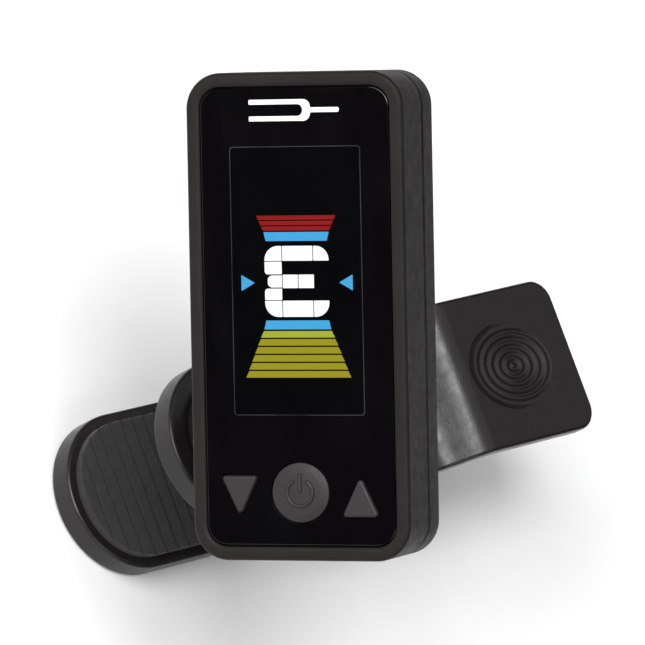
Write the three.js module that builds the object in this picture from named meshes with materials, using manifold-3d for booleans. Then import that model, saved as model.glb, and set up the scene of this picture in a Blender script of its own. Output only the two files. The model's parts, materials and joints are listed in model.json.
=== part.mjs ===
// Clip-on headstock tuner, as a three.js scene graph of separate named parts.
//
// Millimetres. The origin is the centre of the upper pad's contact face. +Z points from the clamped
// headstock up through the arm to the head, +X runs along the clip towards the finger handles.
// The clip is modelled clamped on a 14 mm headstock. The head group has its own frame: x to the right
// and y up as the player reads the display, z out of the window, zero on the bezel's front edge.

import * as THREE from "three";
import { mergeVertices } from "three/addons/utils/BufferGeometryUtils.js";
import Module from "manifold-3d";

const wasm = await Module();
wasm.setup();

// ---- driving dimensions ----

const SLIDE_GAP = 0.15; // between surfaces that slide or turn on each other
const SEAT_GAP = 0.1; // between parts that rest or are glued on each other
const ROUND = 32; // sides of a large round part
const SMALL_ROUND = 18; // sides of a pin, screw or hole

// Pose of the joints when clamped and turned towards the player.
const BASE_ANGLE = 183.5;
const TILT_ANGLE = 25.1;
const ROLL_ANGLE = 67.2;

// Head casing.
const HEAD_WIDTH = 25.5;
const HEAD_HEIGHT = 54.5;
const HEAD_DEPTH = 11;
const HEAD_CORNER = 4;
const EDGE_ROUND = 0.5;
const WALL = 1.7;
const SPLIT_DEPTH = 7.5; // front edge to the joint between bezel and rear shell
const LENS_WIDTH = 22.2;
const LENS_HEIGHT = 51;
const LENS_CORNER = 2.4;
const LENS_TOP = -0.25;
const LENS_THICK = 1;
const LEDGE_WIDTH = 0.65;
const LEDGE_THICK = 0.85;
const CUT_PAST = 1; // how far a cutting tool runs past the face that it opens

// Fixings in the corners of the head.
const SCREW_X = 9.3;
const SCREW_Y = 23.8;
const BOSS_RADIUS = 2;
const BOSS_TOP = -2.7;
const SCREW_SHANK = 0.7;
const SCREW_HEAD = 1.35;
const SCREW_HEAD_THICK = 0.75;
const SCREW_SEAT = 1.1; // depth of the lower counterbores behind the rear face
const RECESS_WIDTH = 0.18; // half width of a cross recess
const RECESS_REACH = 0.8;
const RECESS_DEPTH = 0.3;

// Keys, in the row below the display.
const KEY_ROW_Y = -20;
const POWER_Y = -19.6;
const POWER_RADIUS = 3.35;
const ARROW_X = 7.1;
const ARROW_WIDTH = 4.4;
const ARROW_HEIGHT = 4.6;
const ARROW_CORNER = 0.35;
const KEY_PROUD = 0.3;
const KEY_FOOT = -2;
const FLANGE_THICK = 0.55;
const FLANGE_WIDTH = 0.5;
const SWITCH_HALF = 1.5;
const PLUNGER_RADIUS = 0.8;
const KEY_TRAVEL = 0.4;

// Display and board stack.
const PANEL_WIDTH = 15.4;
const PANEL_LOW = -11;
const PANEL_HIGH = 19;
const PANEL_TOP = -1.6;
const PANEL_THICK = 1.4;
const LIGHT_THICK = 0.75;
const HOLDER_BORDER = 1.2;
const RIBBON_WIDTH = 10;
const RIBBON_THICK = 0.15;
const BOARD_TOP = -4.15;
const BOARD_THICK = 0.8;
const BOARD_BOTTOM = BOARD_TOP - BOARD_THICK;
const BOARD_WIDTH = 21.4;
const BOARD_HEIGHT = 50.4;
const CHIP_X = 4.6;
const CHIP_Y = -15.4;
const CHIP_SIZE = 6.6;
const CHIP_THICK = 0.9;
const CRYSTAL_Y = -9.6;
const CRYSTAL_LENGTH = 6;
const CRYSTAL_WIDTH = 2.2;
const CRYSTAL_THICK = 1.2;
const PIEZO_Y = -18.8;
const PIEZO_RADIUS = 5.6;
const CERAMIC_RADIUS = 4.2;
const PIEZO_THICK = 0.25;
const LEAD_RADIUS = 0.28;

// Battery bay.
const CELL_RADIUS = 10;
const CELL_THICK = 3.2;
const CELL_Y = 13.2;
const CELL_TOP = -6.05;
const CELL_CAP_RADIUS = 8.4;
const CELL_CAP_STEP = 0.25;
const LEAF_THICK = 0.2;
const LEAF_WIDTH = 4;
const UPRIGHT_HALF = 3;
const DOOR_WIDTH = 21;
const DOOR_LOW = 1.2;
const DOOR_THICK = 1.25;
const RAIL_LOW = -10.6; // tongues down the sides of the door
const RAIL_HIGH = -10.1;
const RAIL_WIDTH = 0.45;
const GRIP_COUNT = 4;
const GRIP_LENGTH = 9;
const GRIP_WIDTH = 0.7;
const GRIP_PITCH = 1.5;
const GRIP_DEPTH = 0.35;
const FLOOR_THICK = 1.4;
const BAY_FLOOR_TOP = -8.6;

// Swivel behind the head and tilt hinge.
const SWIVEL_Y = -7.8;
const KNUCKLE_REACH = 10; // rear face of the head to the tilt axis
const KNUCKLE_DISC = 5.6;
const KNUCKLE_HUB = 2.8;
const KNUCKLE_DISC_THICK = 2.4;
const KNUCKLE_CHAMFER = 0.8;
const HUB_TOP = -8.7; // inner end of the hub, behind the swivel's washer
const COLLAR_WIDTH = 2.2;
const LUG_THICK = 5;
const LUG_RADIUS = 3.6;
const TILT_HEIGHT = 26.6; // tilt axis above the pad's contact face
const PIVOT_RADIUS = 1.25;
const CLEVIS_WIDTH = 10;
const CLEVIS_RADIUS = 3.8;
const PIVOT_HEAD = 2.1;
const PIVOT_NUT = 2.5;
const PIVOT_SEAT = 1.1; // depth of the counterbores in the clevis
const PIVOT_PROUD = 0.2;
const TURNTABLE_RADIUS = 7.3;
const TURNTABLE_THICK = 2;
const POST_FOOT_HALF = 5.2;
const POST_WAIST_HALF = 3.2;
const ARM_HUB = 2.4;
const ARM_HUB_REACH = 0.9;
const ARM_SCREW_HEAD = 2;
const ARM_SCREW_SHANK = 0.7;
const WASHER_INNER = 3.3;
const WASHER_OUTER = 5.9;
const WASHER_THICK = 0.3;

// Clip.
const CLIP_WIDTH = 19.4;
const JAW_RADIUS = CLIP_WIDTH / 2;
const JAW_TOP = 4.2;
const JAW_RIM = 1;
const HEADSTOCK = 14;
const HANDLE_END = 55.3;
const HANDLE_TOP = 9;
const HANDLE_THICK = 2.3;
const HANDLE_RISE = 0.4; // how much the handle climbs from its bend to its end
const HANDLE_CORNER = 2.8;
const LOWER_HANDLE_SHORT = 0.8; // how far the lower handle ends before the upper one
const LOWER_HANDLE_TOP = -1.2;
const LOWER_HANDLE_THICK = 2.1;
const LOWER_JAW_FLAT = 11; // end of the lower jaw's flat underside
const LOWER_RISE = 16.5; // where the lower handle starts to climb
const BEND_START = 29.5;
const BEND_END = 36.8;
const PAD_RADIUS = 8.4;
const PAD_END = 9.5;
const PAD_THICK = 1.9;
const HINGE_X = 26;
const HINGE_Z = -HEADSTOCK / 2;
const HINGE_PIN = 1.2;
const CHANNEL_X = 20.5; // hollow under the upper lever between its jaw and its bend
const CHANNEL_LENGTH = 17;
const CHANNEL_WIDTH = 15;
const CHANNEL_DEPTH = 1.4;
const EAR_RADIUS = 3.3;
const EAR_OUTER = 9.2;
const EAR_THICK = 1.6;
const EAR_JAW_ROOT = 19.5;
const EAR_HANDLE_ROOT = 31.5;
const RIVET_RADIUS = 1.9;
const RIVET_THICK = 0.3;
const DISH_X = 45.2;
const DISH_RADIUS = 5.3;
const DISH_STRETCH = 1.36; // the dish is an oval, longer along the handle
const WIRE = 0.5;
const COIL_RADIUS = 2.7;
const COIL_HALF = 3.6;
const SPRING_REACH = 20;
const SPRING_UPPER_ANGLE = 30.5;
const SPRING_LOWER_ANGLE = 18;
const SPRING_TURNS = 7;

// ---- colours, roughness, metalness ----

const finish = (color, roughness, metalness) => ({ color, roughness, metalness });
const CASE_PLASTIC = finish(0x3a3634, 0.6, 0);
const CLIP_PLASTIC = finish(0x2e2a29, 0.45, 0);
const LENS_BLACK = finish(0x0b0b10, 0.08, 0);
const KEY_RUBBER = finish(0x3c3836, 0.75, 0);
const PAD_RUBBER = finish(0x1b1a1a, 0.9, 0);
const PANEL_GLASS = finish(0x101014, 0.1, 0);
const DIFFUSER = finish(0xe8ecef, 0.5, 0);
const HOLDER_WHITE = finish(0xd8d8d4, 0.6, 0);
const BOARD_GREEN = finish(0x14532b, 0.5, 0);
const CHIP_BLACK = finish(0x17171a, 0.5, 0);
const RIBBON_AMBER = finish(0xb36a1e, 0.4, 0);
const STEEL = finish(0xb9bcc0, 0.3, 1);
const DARK_STEEL = finish(0x4a4c50, 0.35, 1);
const BRASS = finish(0xc29a4b, 0.35, 1);
const CERAMIC = finish(0xe6e1d3, 0.5, 0);
const WIRE_RED = finish(0x9c1f1a, 0.5, 0);

// ---- solids: three.js geometry in and out, booleans by manifold-3d ----

function solid(geometry, matrix) {
  const bare = new THREE.BufferGeometry();
  bare.setAttribute("position", geometry.getAttribute("position").clone());
  if (geometry.index) bare.setIndex(geometry.index.clone());
  if (matrix) bare.applyMatrix4(matrix);
  const welded = mergeVertices(bare, 1e-4);
  const corners = welded.index.array;
  const triVerts = [];
  for (let i = 0; i < corners.length; i += 3) {
    const [a, b, c] = [corners[i], corners[i + 1], corners[i + 2]];
    if (a !== b && b !== c && c !== a) triVerts.push(a, b, c);
  }
  const build = (tris) =>
    new wasm.Manifold(
      new wasm.Mesh({
        numProp: 3,
        vertProperties: new Float32Array(welded.attributes.position.array),
        triVerts: new Uint32Array(tris),
      }),
    );
  const body = build(triVerts);
  return body.volume() < 0 ? build(triVerts.reverse()) : body;
}

function geometryOf(body) {
  const mesh = body.getMesh();
  const geometry = new THREE.BufferGeometry();
  geometry.setAttribute("position", new THREE.BufferAttribute(new Float32Array(mesh.vertProperties), 3));
  geometry.setIndex(new THREE.BufferAttribute(new Uint32Array(mesh.triVerts), 1));
  geometry.computeVertexNormals();
  return geometry;
}

const union = (bodies) => bodies.reduce((a, b) => a.add(b));
const cut = (body, tools) => tools.reduce((a, b) => a.subtract(b), body);
const radians = THREE.MathUtils.degToRad;
const shift = (x, y, z) => new THREE.Matrix4().makeTranslation(x, y, z);

// Turns a shape drawn in y and z, extruded along x, into place: its x, y, z become y, z, x.
const ACROSS = new THREE.Matrix4().makeBasis(
  new THREE.Vector3(0, 1, 0),
  new THREE.Vector3(0, 0, 1),
  new THREE.Vector3(1, 0, 0),
);

function piece(group, name, look, body) {
  const mesh = new THREE.Mesh(geometryOf(body), new THREE.MeshStandardMaterial(look));
  mesh.name = name;
  group.add(mesh);
}

// ---- outlines ----

function roundedRect(width, height, corner, x = 0, y = 0) {
  const [w, h] = [width / 2, height / 2];
  const shape = new THREE.Shape();
  shape.moveTo(x - w + corner, y - h);
  shape.lineTo(x + w - corner, y - h);
  shape.absarc(x + w - corner, y - h + corner, corner, -Math.PI / 2, 0);
  shape.lineTo(x + w, y + h - corner);
  shape.absarc(x + w - corner, y + h - corner, corner, 0, Math.PI / 2);
  shape.lineTo(x - w + corner, y + h);
  shape.absarc(x - w + corner, y + h - corner, corner, Math.PI / 2, Math.PI);
  shape.lineTo(x - w, y - h + corner);
  shape.absarc(x - w + corner, y - h + corner, corner, Math.PI, Math.PI * 1.5);
  return shape;
}

// Isosceles triangle with rounded corners; direction is +1 pointing up, -1 pointing down.
function arrowOutline(x, y, direction, grow) {
  const height = ARROW_HEIGHT / 2;
  const tips = [
    new THREE.Vector2(0, height * direction),
    new THREE.Vector2(-ARROW_WIDTH / 2, -height * direction),
    new THREE.Vector2(ARROW_WIDTH / 2, -height * direction),
  ];
  if (direction < 0) tips.reverse();
  const centre = new THREE.Vector2(0, (-height * direction) / 3);
  const corner = ARROW_CORNER + grow;
  const shape = new THREE.Shape();
  tips.forEach((tip, i) => {
    const before = tips[(i + 2) % 3].clone().sub(tip).normalize();
    const after = tips[(i + 1) % 3].clone().sub(tip).normalize();
    const half = before.angleTo(after) / 2;
    const inward = centre.clone().sub(tip).normalize();
    const hub = tip.clone().addScaledVector(inward, ARROW_CORNER / Math.sin(half));
    const start = new THREE.Vector2(-before.y, before.x).multiplyScalar(-1);
    const side = start.dot(inward) > 0 ? start.negate() : start;
    const from = Math.atan2(side.y, side.x);
    shape.absarc(x + hub.x, y + hub.y, corner, from, from + Math.PI - 2 * half);
  });
  shape.closePath();
  return shape;
}

// Slab of an outline between two depths.
function slab(shape, low, high, segments = 4) {
  const geometry = new THREE.ExtrudeGeometry(shape, {
    depth: high - low,
    bevelEnabled: false,
    curveSegments: segments,
  });
  return solid(geometry, shift(0, 0, low));
}

// Slab whose two end faces have rounded edges.
function softSlab(shape, low, high, edge, segments = 4) {
  const geometry = new THREE.ExtrudeGeometry(shape, {
    depth: high - low - 2 * edge,
    bevelEnabled: true,
    bevelThickness: edge,
    bevelSize: edge,
    bevelOffset: -edge,
    bevelSegments: 2,
    curveSegments: segments,
  });
  return solid(geometry, shift(0, 0, low + edge));
}

function rod(radius, low, high, x = 0, y = 0, sides = SMALL_ROUND) {
  const geometry = new THREE.CylinderGeometry(radius, radius, high - low, sides);
  geometry.rotateX(Math.PI / 2);
  return solid(geometry, shift(x, y, (low + high) / 2));
}

// Rod along Y at the given X and Z.
function crossRod(radius, low, high, x, z, sides = SMALL_ROUND) {
  const geometry = new THREE.CylinderGeometry(radius, radius, high - low, sides);
  return solid(geometry, shift(x, (low + high) / 2, z));
}

function ring(inner, outer, low, high, x = 0, y = 0, sides = ROUND) {
  return rod(outer, low, high, x, y, sides).subtract(rod(inner, low - 1, high + 1, x, y, sides));
}

function box(x0, x1, y0, y1, z0, z1) {
  const geometry = new THREE.BoxGeometry(x1 - x0, y1 - y0, z1 - z0);
  return solid(geometry, shift((x0 + x1) / 2, (y0 + y1) / 2, (z0 + z1) / 2));
}

// Body of revolution about the vertical line through x, y; each point is (radius, z).
function turned(profile, x = 0, y = 0, sides = ROUND) {
  const points = profile.map(([radius, z]) => new THREE.Vector2(radius, z));
  const geometry = new THREE.LatheGeometry(points, sides);
  geometry.rotateX(Math.PI / 2);
  return solid(geometry, shift(x, y, 0));
}

// A side profile drawn in X and Z, given a width along Y.
function sideExtrusion(shape, low, high, segments = 6) {
  const geometry = new THREE.ExtrudeGeometry(shape, {
    depth: high - low,
    bevelEnabled: false,
    curveSegments: segments,
  });
  geometry.rotateX(Math.PI / 2);
  return solid(geometry, shift(0, high, 0));
}

// ---- head ----

const headOutline = (inset) =>
  roundedRect(HEAD_WIDTH - 2 * inset, HEAD_HEIGHT - 2 * inset, HEAD_CORNER - inset);
const screwPlaces = [
  [-SCREW_X, SCREW_Y],
  [SCREW_X, SCREW_Y],
  [-SCREW_X, -SCREW_Y],
  [SCREW_X, -SCREW_Y],
];

function frontBezel(group) {
  const middle = -SPLIT_DEPTH / 2;
  const skirt = slab(headOutline(0), -SPLIT_DEPTH, middle);
  const face = softSlab(headOutline(0), middle - 1, 0, EDGE_ROUND);
  const lensFloor = LENS_TOP - LENS_THICK - SEAT_GAP;
  const ledgeBottom = lensFloor - LEDGE_THICK;
  const pocket = roundedRect(LENS_WIDTH + 2 * SEAT_GAP, LENS_HEIGHT + 2 * SEAT_GAP, LENS_CORNER);
  const window = roundedRect(
    LENS_WIDTH - 2 * LEDGE_WIDTH,
    LENS_HEIGHT - 2 * LEDGE_WIDTH,
    LENS_CORNER - LEDGE_WIDTH,
  );
  const bossBottom = -SPLIT_DEPTH + SEAT_GAP;
  const pilotTop = BOSS_TOP - 0.8;
  const shell = cut(skirt.add(face), [
    slab(pocket, lensFloor, CUT_PAST),
    slab(window, ledgeBottom - CUT_PAST, lensFloor + CUT_PAST),
    slab(headOutline(WALL), -SPLIT_DEPTH - CUT_PAST, ledgeBottom),
  ]);
  const inside = slab(headOutline(WALL / 2), -SPLIT_DEPTH, BOSS_TOP + CUT_PAST);
  const bosses = screwPlaces.map(([x, y]) => {
    const pilot = rod(SCREW_SHANK + SEAT_GAP, bossBottom - CUT_PAST, pilotTop, x, y);
    return rod(BOSS_RADIUS, bossBottom, BOSS_TOP, x, y).subtract(pilot);
  });
  piece(group, "front_bezel", CASE_PLASTIC, union([shell, ...bosses.map((b) => b.intersect(inside))]));
}

function lensAndKeys(group) {
  const bottom = LENS_TOP - LENS_THICK;
  const holes = [
    rod(POWER_RADIUS + SLIDE_GAP, bottom - CUT_PAST, CUT_PAST, 0, POWER_Y, ROUND),
    slab(arrowOutline(-ARROW_X, KEY_ROW_Y, -1, SLIDE_GAP), bottom - CUT_PAST, CUT_PAST),
    slab(arrowOutline(ARROW_X, KEY_ROW_Y, 1, SLIDE_GAP), bottom - CUT_PAST, CUT_PAST),
  ];
  const lens = slab(roundedRect(LENS_WIDTH, LENS_HEIGHT, LENS_CORNER - SEAT_GAP), bottom, LENS_TOP);
  piece(group, "face_lens", LENS_BLACK, cut(lens, holes));

  const flangeTop = KEY_FOOT + FLANGE_THICK;
  const power = rod(POWER_RADIUS, KEY_FOOT, KEY_PROUD, 0, POWER_Y, ROUND);
  const powerFlange = rod(POWER_RADIUS + FLANGE_WIDTH, KEY_FOOT, flangeTop, 0, POWER_Y, ROUND);
  piece(group, "key_power", KEY_RUBBER, power.add(powerFlange));
  [
    ["key_flat", -ARROW_X, -1],
    ["key_sharp", ARROW_X, 1],
  ].forEach(([name, x, direction]) => {
    const cap = slab(arrowOutline(x, KEY_ROW_Y, direction, 0), KEY_FOOT, KEY_PROUD);
    const flange = slab(arrowOutline(x, KEY_ROW_Y, direction, FLANGE_WIDTH), KEY_FOOT, flangeTop);
    piece(group, name, KEY_RUBBER, cap.add(flange));
  });

  const plungerTop = KEY_FOOT - KEY_TRAVEL - SEAT_GAP;
  const seat = BOARD_TOP + SEAT_GAP / 2;
  [
    ["switch_power", 0, POWER_Y],
    ["switch_flat", -ARROW_X, KEY_ROW_Y],
    ["switch_sharp", ARROW_X, KEY_ROW_Y],
  ].forEach(([name, x, y]) => {
    const half = SWITCH_HALF;
    const body = box(x - half, x + half, y - half, y + half, seat, plungerTop - 0.3);
    piece(group, name, STEEL, body.add(rod(PLUNGER_RADIUS, seat, plungerTop, x, y)));
  });
}

function display(group) {
  const centreY = (PANEL_LOW + PANEL_HIGH) / 2;
  const height = PANEL_HIGH - PANEL_LOW;
  const panelBottom = PANEL_TOP - PANEL_THICK;
  const lightTop = panelBottom - SEAT_GAP;
  const lightBottom = lightTop - LIGHT_THICK;
  piece(
    group,
    "lcd_panel",
    PANEL_GLASS,
    slab(roundedRect(PANEL_WIDTH, height, 0.4, 0, centreY), panelBottom, PANEL_TOP, 2),
  );
  const light = roundedRect(PANEL_WIDTH - 0.6, height - 0.6, 0.4, 0, centreY);
  piece(group, "backlight", DIFFUSER, slab(light, lightBottom, lightTop, 2));

  const border = HOLDER_BORDER;
  const holderTop = PANEL_TOP - 0.3;
  const holderFoot = BOARD_TOP + SEAT_GAP;
  const outer = roundedRect(PANEL_WIDTH + 2 * border, height + 2 * border, 1, 0, centreY);
  const clearance = 2 * SLIDE_GAP;
  const inner = roundedRect(PANEL_WIDTH + clearance, height + clearance, 0.4, 0, centreY);
  const slotHalf = RIBBON_WIDTH / 2 + 0.4;
  const slot = box(-slotHalf, slotHalf, PANEL_LOW - 3, PANEL_LOW + 0.5, panelBottom - SEAT_GAP, CUT_PAST);
  const opening = slab(inner, holderFoot - CUT_PAST, CUT_PAST, 2);
  const frame = cut(slab(outer, holderFoot, holderTop, 3), [opening, slot]);
  piece(group, "display_holder", HOLDER_WHITE, frame);

  // Flat ribbon from the lower edge of the panel, over the holder, down to the board.
  const thick = RIBBON_THICK;
  const start = PANEL_LOW - SEAT_GAP;
  const top = (PANEL_TOP + panelBottom) / 2;
  const foot = BOARD_TOP + SEAT_GAP;
  const ribbon = new THREE.Shape();
  ribbon.moveTo(start, top);
  ribbon.lineTo(start - 1.4, top);
  ribbon.lineTo(start - 2.4, foot + thick);
  ribbon.lineTo(start - 4, foot + thick);
  ribbon.lineTo(start - 4, foot);
  ribbon.lineTo(start - 2.2, foot);
  ribbon.lineTo(start - 1.25, top - thick);
  ribbon.lineTo(start, top - thick);
  const strip = new THREE.ExtrudeGeometry(ribbon, { depth: RIBBON_WIDTH, bevelEnabled: false });
  piece(group, "lcd_ribbon", RIBBON_AMBER, solid(strip, shift(-RIBBON_WIDTH / 2, 0, 0).multiply(ACROSS)));
}

function electronics(group) {
  const outline = roundedRect(BOARD_WIDTH, BOARD_HEIGHT, 2);
  const notches = screwPlaces.map(([x, y]) =>
    rod(BOSS_RADIUS + 0.25, BOARD_BOTTOM - CUT_PAST, BOARD_TOP + CUT_PAST, x, y),
  );
  piece(group, "main_board", BOARD_GREEN, cut(slab(outline, BOARD_BOTTOM, BOARD_TOP), notches));

  const under = BOARD_BOTTOM - SEAT_GAP / 2;
  const body = roundedRect(CHIP_SIZE, CHIP_SIZE, 0.3, CHIP_X, CHIP_Y);
  piece(group, "controller_chip", CHIP_BLACK, softSlab(body, under - CHIP_THICK, under, 0.1, 1));
  const can = roundedRect(CRYSTAL_LENGTH, CRYSTAL_WIDTH, CRYSTAL_WIDTH / 2 - 0.05, CHIP_X, CRYSTAL_Y);
  piece(group, "crystal", STEEL, slab(can, under - CRYSTAL_THICK, under));

  // Piezo disc glued to the floor of the rear shell, where the vibration comes in.
  const floor = -HEAD_DEPTH + FLOOR_THICK;
  const plateTop = floor + SEAT_GAP + PIEZO_THICK;
  const ceramicTop = plateTop + SEAT_GAP + PIEZO_THICK;
  const plate = rod(PIEZO_RADIUS, floor + SEAT_GAP, plateTop, 0, PIEZO_Y, ROUND);
  const ceramic = rod(CERAMIC_RADIUS, plateTop + SEAT_GAP, ceramicTop, 0, PIEZO_Y, ROUND);
  piece(group, "piezo_plate", BRASS, plate);
  piece(group, "piezo_ceramic", CERAMIC, ceramic);

  // Each lead rises from its own face of the disc and runs to the underside of the board.
  const solderGap = 0.15;
  const leads = [
    ["piezo_lead_ceramic", -2, PIEZO_Y + 1.4, ceramicTop],
    ["piezo_lead_plate", -4.9, PIEZO_Y, plateTop],
  ];
  leads.forEach(([name, x, y, seat]) => {
    const start = new THREE.Vector3(x, y, seat + solderGap);
    const end = new THREE.Vector3(x - 2, y + 4, BOARD_BOTTOM - solderGap);
    const route = new THREE.CatmullRomCurve3([
      start,
      start.clone().add(new THREE.Vector3(-0.1, 0.3, 0.9)),
      end.clone().add(new THREE.Vector3(0.1, -0.4, -0.9)),
      end,
    ]);
    const section = new THREE.Shape().absarc(0, 0, LEAD_RADIUS, 0, Math.PI * 2);
    const lead = new THREE.ExtrudeGeometry(section, { steps: 12, extrudePath: route, curveSegments: 4 });
    piece(group, name, WIRE_RED, solid(lead));
  });
}

function battery(group) {
  const bottom = CELL_TOP - CELL_THICK;
  const can = CELL_RADIUS;
  const chamfer = 0.3;
  const rim = CELL_TOP - CELL_CAP_STEP;
  const cell = [
    [0, bottom],
    [can - chamfer, bottom],
    [can, bottom + chamfer],
    [can, rim - chamfer],
    [can - chamfer, rim],
    [CELL_CAP_RADIUS, rim],
    [CELL_CAP_RADIUS, CELL_TOP],
    [0, CELL_TOP],
  ];
  piece(group, "coin_cell", STEEL, turned(cell, 0, CELL_Y));

  // Negative leaf: a foot on the board, sprung down onto the cell's cap.
  const under = BOARD_BOTTOM - SEAT_GAP / 2;
  const tip = CELL_TOP + SEAT_GAP + LEAF_THICK;
  const leafEnds = [CELL_Y - 6.2, CELL_Y + 2.8];
  const leafBends = [CELL_Y - 3.2, CELL_Y + 0.8];
  const leaf = new THREE.Shape();
  leaf.moveTo(leafEnds[0], under);
  leaf.lineTo(leafBends[0], under);
  leaf.lineTo(leafBends[1], tip);
  leaf.lineTo(leafEnds[1], tip);
  leaf.lineTo(leafEnds[1], tip - LEAF_THICK);
  leaf.lineTo(leafBends[1] - LEAF_THICK / 2, tip - LEAF_THICK);
  leaf.lineTo(leafBends[0] - LEAF_THICK / 2, under - LEAF_THICK);
  leaf.lineTo(leafEnds[0], under - LEAF_THICK);
  const tongue = new THREE.ExtrudeGeometry(leaf, { depth: LEAF_WIDTH, bevelEnabled: false });
  piece(group, "contact_negative", STEEL, solid(tongue, shift(-LEAF_WIDTH / 2, 0, 0).multiply(ACROSS)));

  // Positive leaf: a foot on the board and an upright beside the cell's can.
  const inner = can + SLIDE_GAP;
  const outer = inner + LEAF_THICK + 0.05;
  const [low, high] = [CELL_Y - UPRIGHT_HALF, CELL_Y + UPRIGHT_HALF];
  const upright = box(inner, outer, low, high, bottom + 0.35, under);
  const foot = box(can - 1.4, outer, low, high, under - LEAF_THICK, under);
  piece(group, "contact_positive", STEEL, upright.add(foot));
}

function rearShell(group) {
  const rear = -HEAD_DEPTH;
  const floorTop = rear + FLOOR_THICK;
  const joint = -SPLIT_DEPTH - SLIDE_GAP;
  const outer = union([
    slab(headOutline(0), rear + 2, joint),
    softSlab(headOutline(0), rear, joint, EDGE_ROUND),
  ]);
  const hollow = slab(headOutline(WALL), floorTop, joint + 1);
  const bayHigh = HEAD_HEIGHT / 2 - WALL / 2;
  const bayFloor = slab(headOutline(WALL / 2), floorTop - 0.05, BAY_FLOOR_TOP).intersect(
    box(-HEAD_WIDTH, HEAD_WIDTH, DOOR_LOW - FLOOR_THICK, bayHigh, rear, 0),
  );
  const cellFit = CELL_RADIUS + 0.3;
  const bayWall = ring(cellFit, cellFit + 0.55, floorTop - 0.1, BAY_FLOOR_TOP + 2, 0, CELL_Y);
  const bosses = screwPlaces.map(([x, y]) => rod(BOSS_RADIUS, floorTop - 0.5, joint, x, y));
  const inside = slab(headOutline(WALL / 2), rear, joint);
  const hubRing = rod(KNUCKLE_HUB + COLLAR_WIDTH, floorTop - 0.5, HUB_TOP - SEAT_GAP, 0, SWIVEL_Y, ROUND);

  const doorHalf = DOOR_WIDTH / 2 + SLIDE_GAP;
  const beyond = HEAD_HEIGHT;
  const doorFoot = DOOR_LOW - SLIDE_GAP;
  const railHalf = doorHalf + RAIL_WIDTH + SLIDE_GAP;
  const recess = box(-doorHalf, doorHalf, doorFoot, beyond, rear - CUT_PAST, floorTop - 0.1);
  const grooves = box(-railHalf, railHalf, doorFoot, beyond, RAIL_LOW - SLIDE_GAP, RAIL_HIGH + SLIDE_GAP);
  const cellHole = rod(cellFit, rear - CUT_PAST, 0, 0, CELL_Y, ROUND);
  const slotHalf = UPRIGHT_HALF + 2 * SLIDE_GAP;
  const slotEnd = HEAD_WIDTH / 2 - WALL + 0.45;
  const slotFoot = CELL_TOP - CELL_THICK + 0.05;
  const contactSlot = box(9.6, slotEnd, CELL_Y - slotHalf, CELL_Y + slotHalf, slotFoot, joint + 2);
  const screwHoles = screwPlaces.flatMap(([x, y]) => {
    const seat = y > 0 ? BAY_FLOOR_TOP - SEAT_GAP : rear + SCREW_SEAT;
    return [
      rod(SCREW_SHANK + SLIDE_GAP, rear - CUT_PAST, 0, x, y),
      rod(SCREW_HEAD + SLIDE_GAP, rear - CUT_PAST, seat, x, y),
    ];
  });
  const hubHole = rod(KNUCKLE_HUB + SEAT_GAP, rear - CUT_PAST, 0, 0, SWIVEL_Y, ROUND);

  const tray = outer.subtract(hollow);
  const filled = union([tray, bayFloor, bayWall, hubRing, ...bosses.map((b) => b.intersect(inside))]);
  const shell = cut(filled, [recess, grooves, cellHole, contactSlot, hubHole, ...screwHoles]);
  piece(group, "rear_shell", CASE_PLASTIC, shell);
}

function batteryDoor(group) {
  const rear = -HEAD_DEPTH;
  const top = rear + DOOR_THICK;
  const half = DOOR_WIDTH / 2;
  const end = HEAD_HEIGHT / 2;
  const plate = box(-half, half, DOOR_LOW, end, rear, top);
  const railEnd = half + RAIL_WIDTH;
  const tongues = box(-railEnd, railEnd, DOOR_LOW + SEAT_GAP, end, RAIL_LOW, RAIL_HIGH);
  const follow = softSlab(headOutline(0), rear, rear + 4, EDGE_ROUND);
  const grips = Array.from({ length: GRIP_COUNT }, (_, i) => {
    const y = DOOR_LOW + 3 + i * GRIP_PITCH;
    return box(-GRIP_LENGTH / 2, GRIP_LENGTH / 2, y, y + GRIP_WIDTH, rear - CUT_PAST, rear + GRIP_DEPTH);
  });
  piece(group, "battery_door", CASE_PLASTIC, cut(plate.add(tongues).intersect(follow), grips));
}

function shellScrews(group) {
  screwPlaces.forEach(([x, y], i) => {
    const seat = y > 0 ? BAY_FLOOR_TOP - SEAT_GAP : -HEAD_DEPTH + SCREW_SEAT;
    const headTop = seat - SEAT_GAP;
    const tip = y > 0 ? BOARD_BOTTOM + 0.65 : BOARD_BOTTOM + 0.35;
    const head = rod(SCREW_HEAD, headTop - SCREW_HEAD_THICK, headTop, x, y);
    const shank = rod(SCREW_SHANK, headTop - 0.2, tip, x, y, 16);
    const [wide, thin] = [RECESS_REACH, RECESS_WIDTH];
    const outside = headTop - SCREW_HEAD_THICK - CUT_PAST;
    const recessTop = headTop - SCREW_HEAD_THICK + RECESS_DEPTH;
    const cross = union([
      box(x - wide, x + wide, y - thin, y + thin, outside, recessTop),
      box(x - thin, x + thin, y - wide, y + wide, outside, recessTop),
    ]);
    piece(group, "shell_screw_" + (i + 1), DARK_STEEL, head.add(shank).subtract(cross));
  });
}

// ---- knuckle: turns behind the head and tilts on the arm ----

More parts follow.
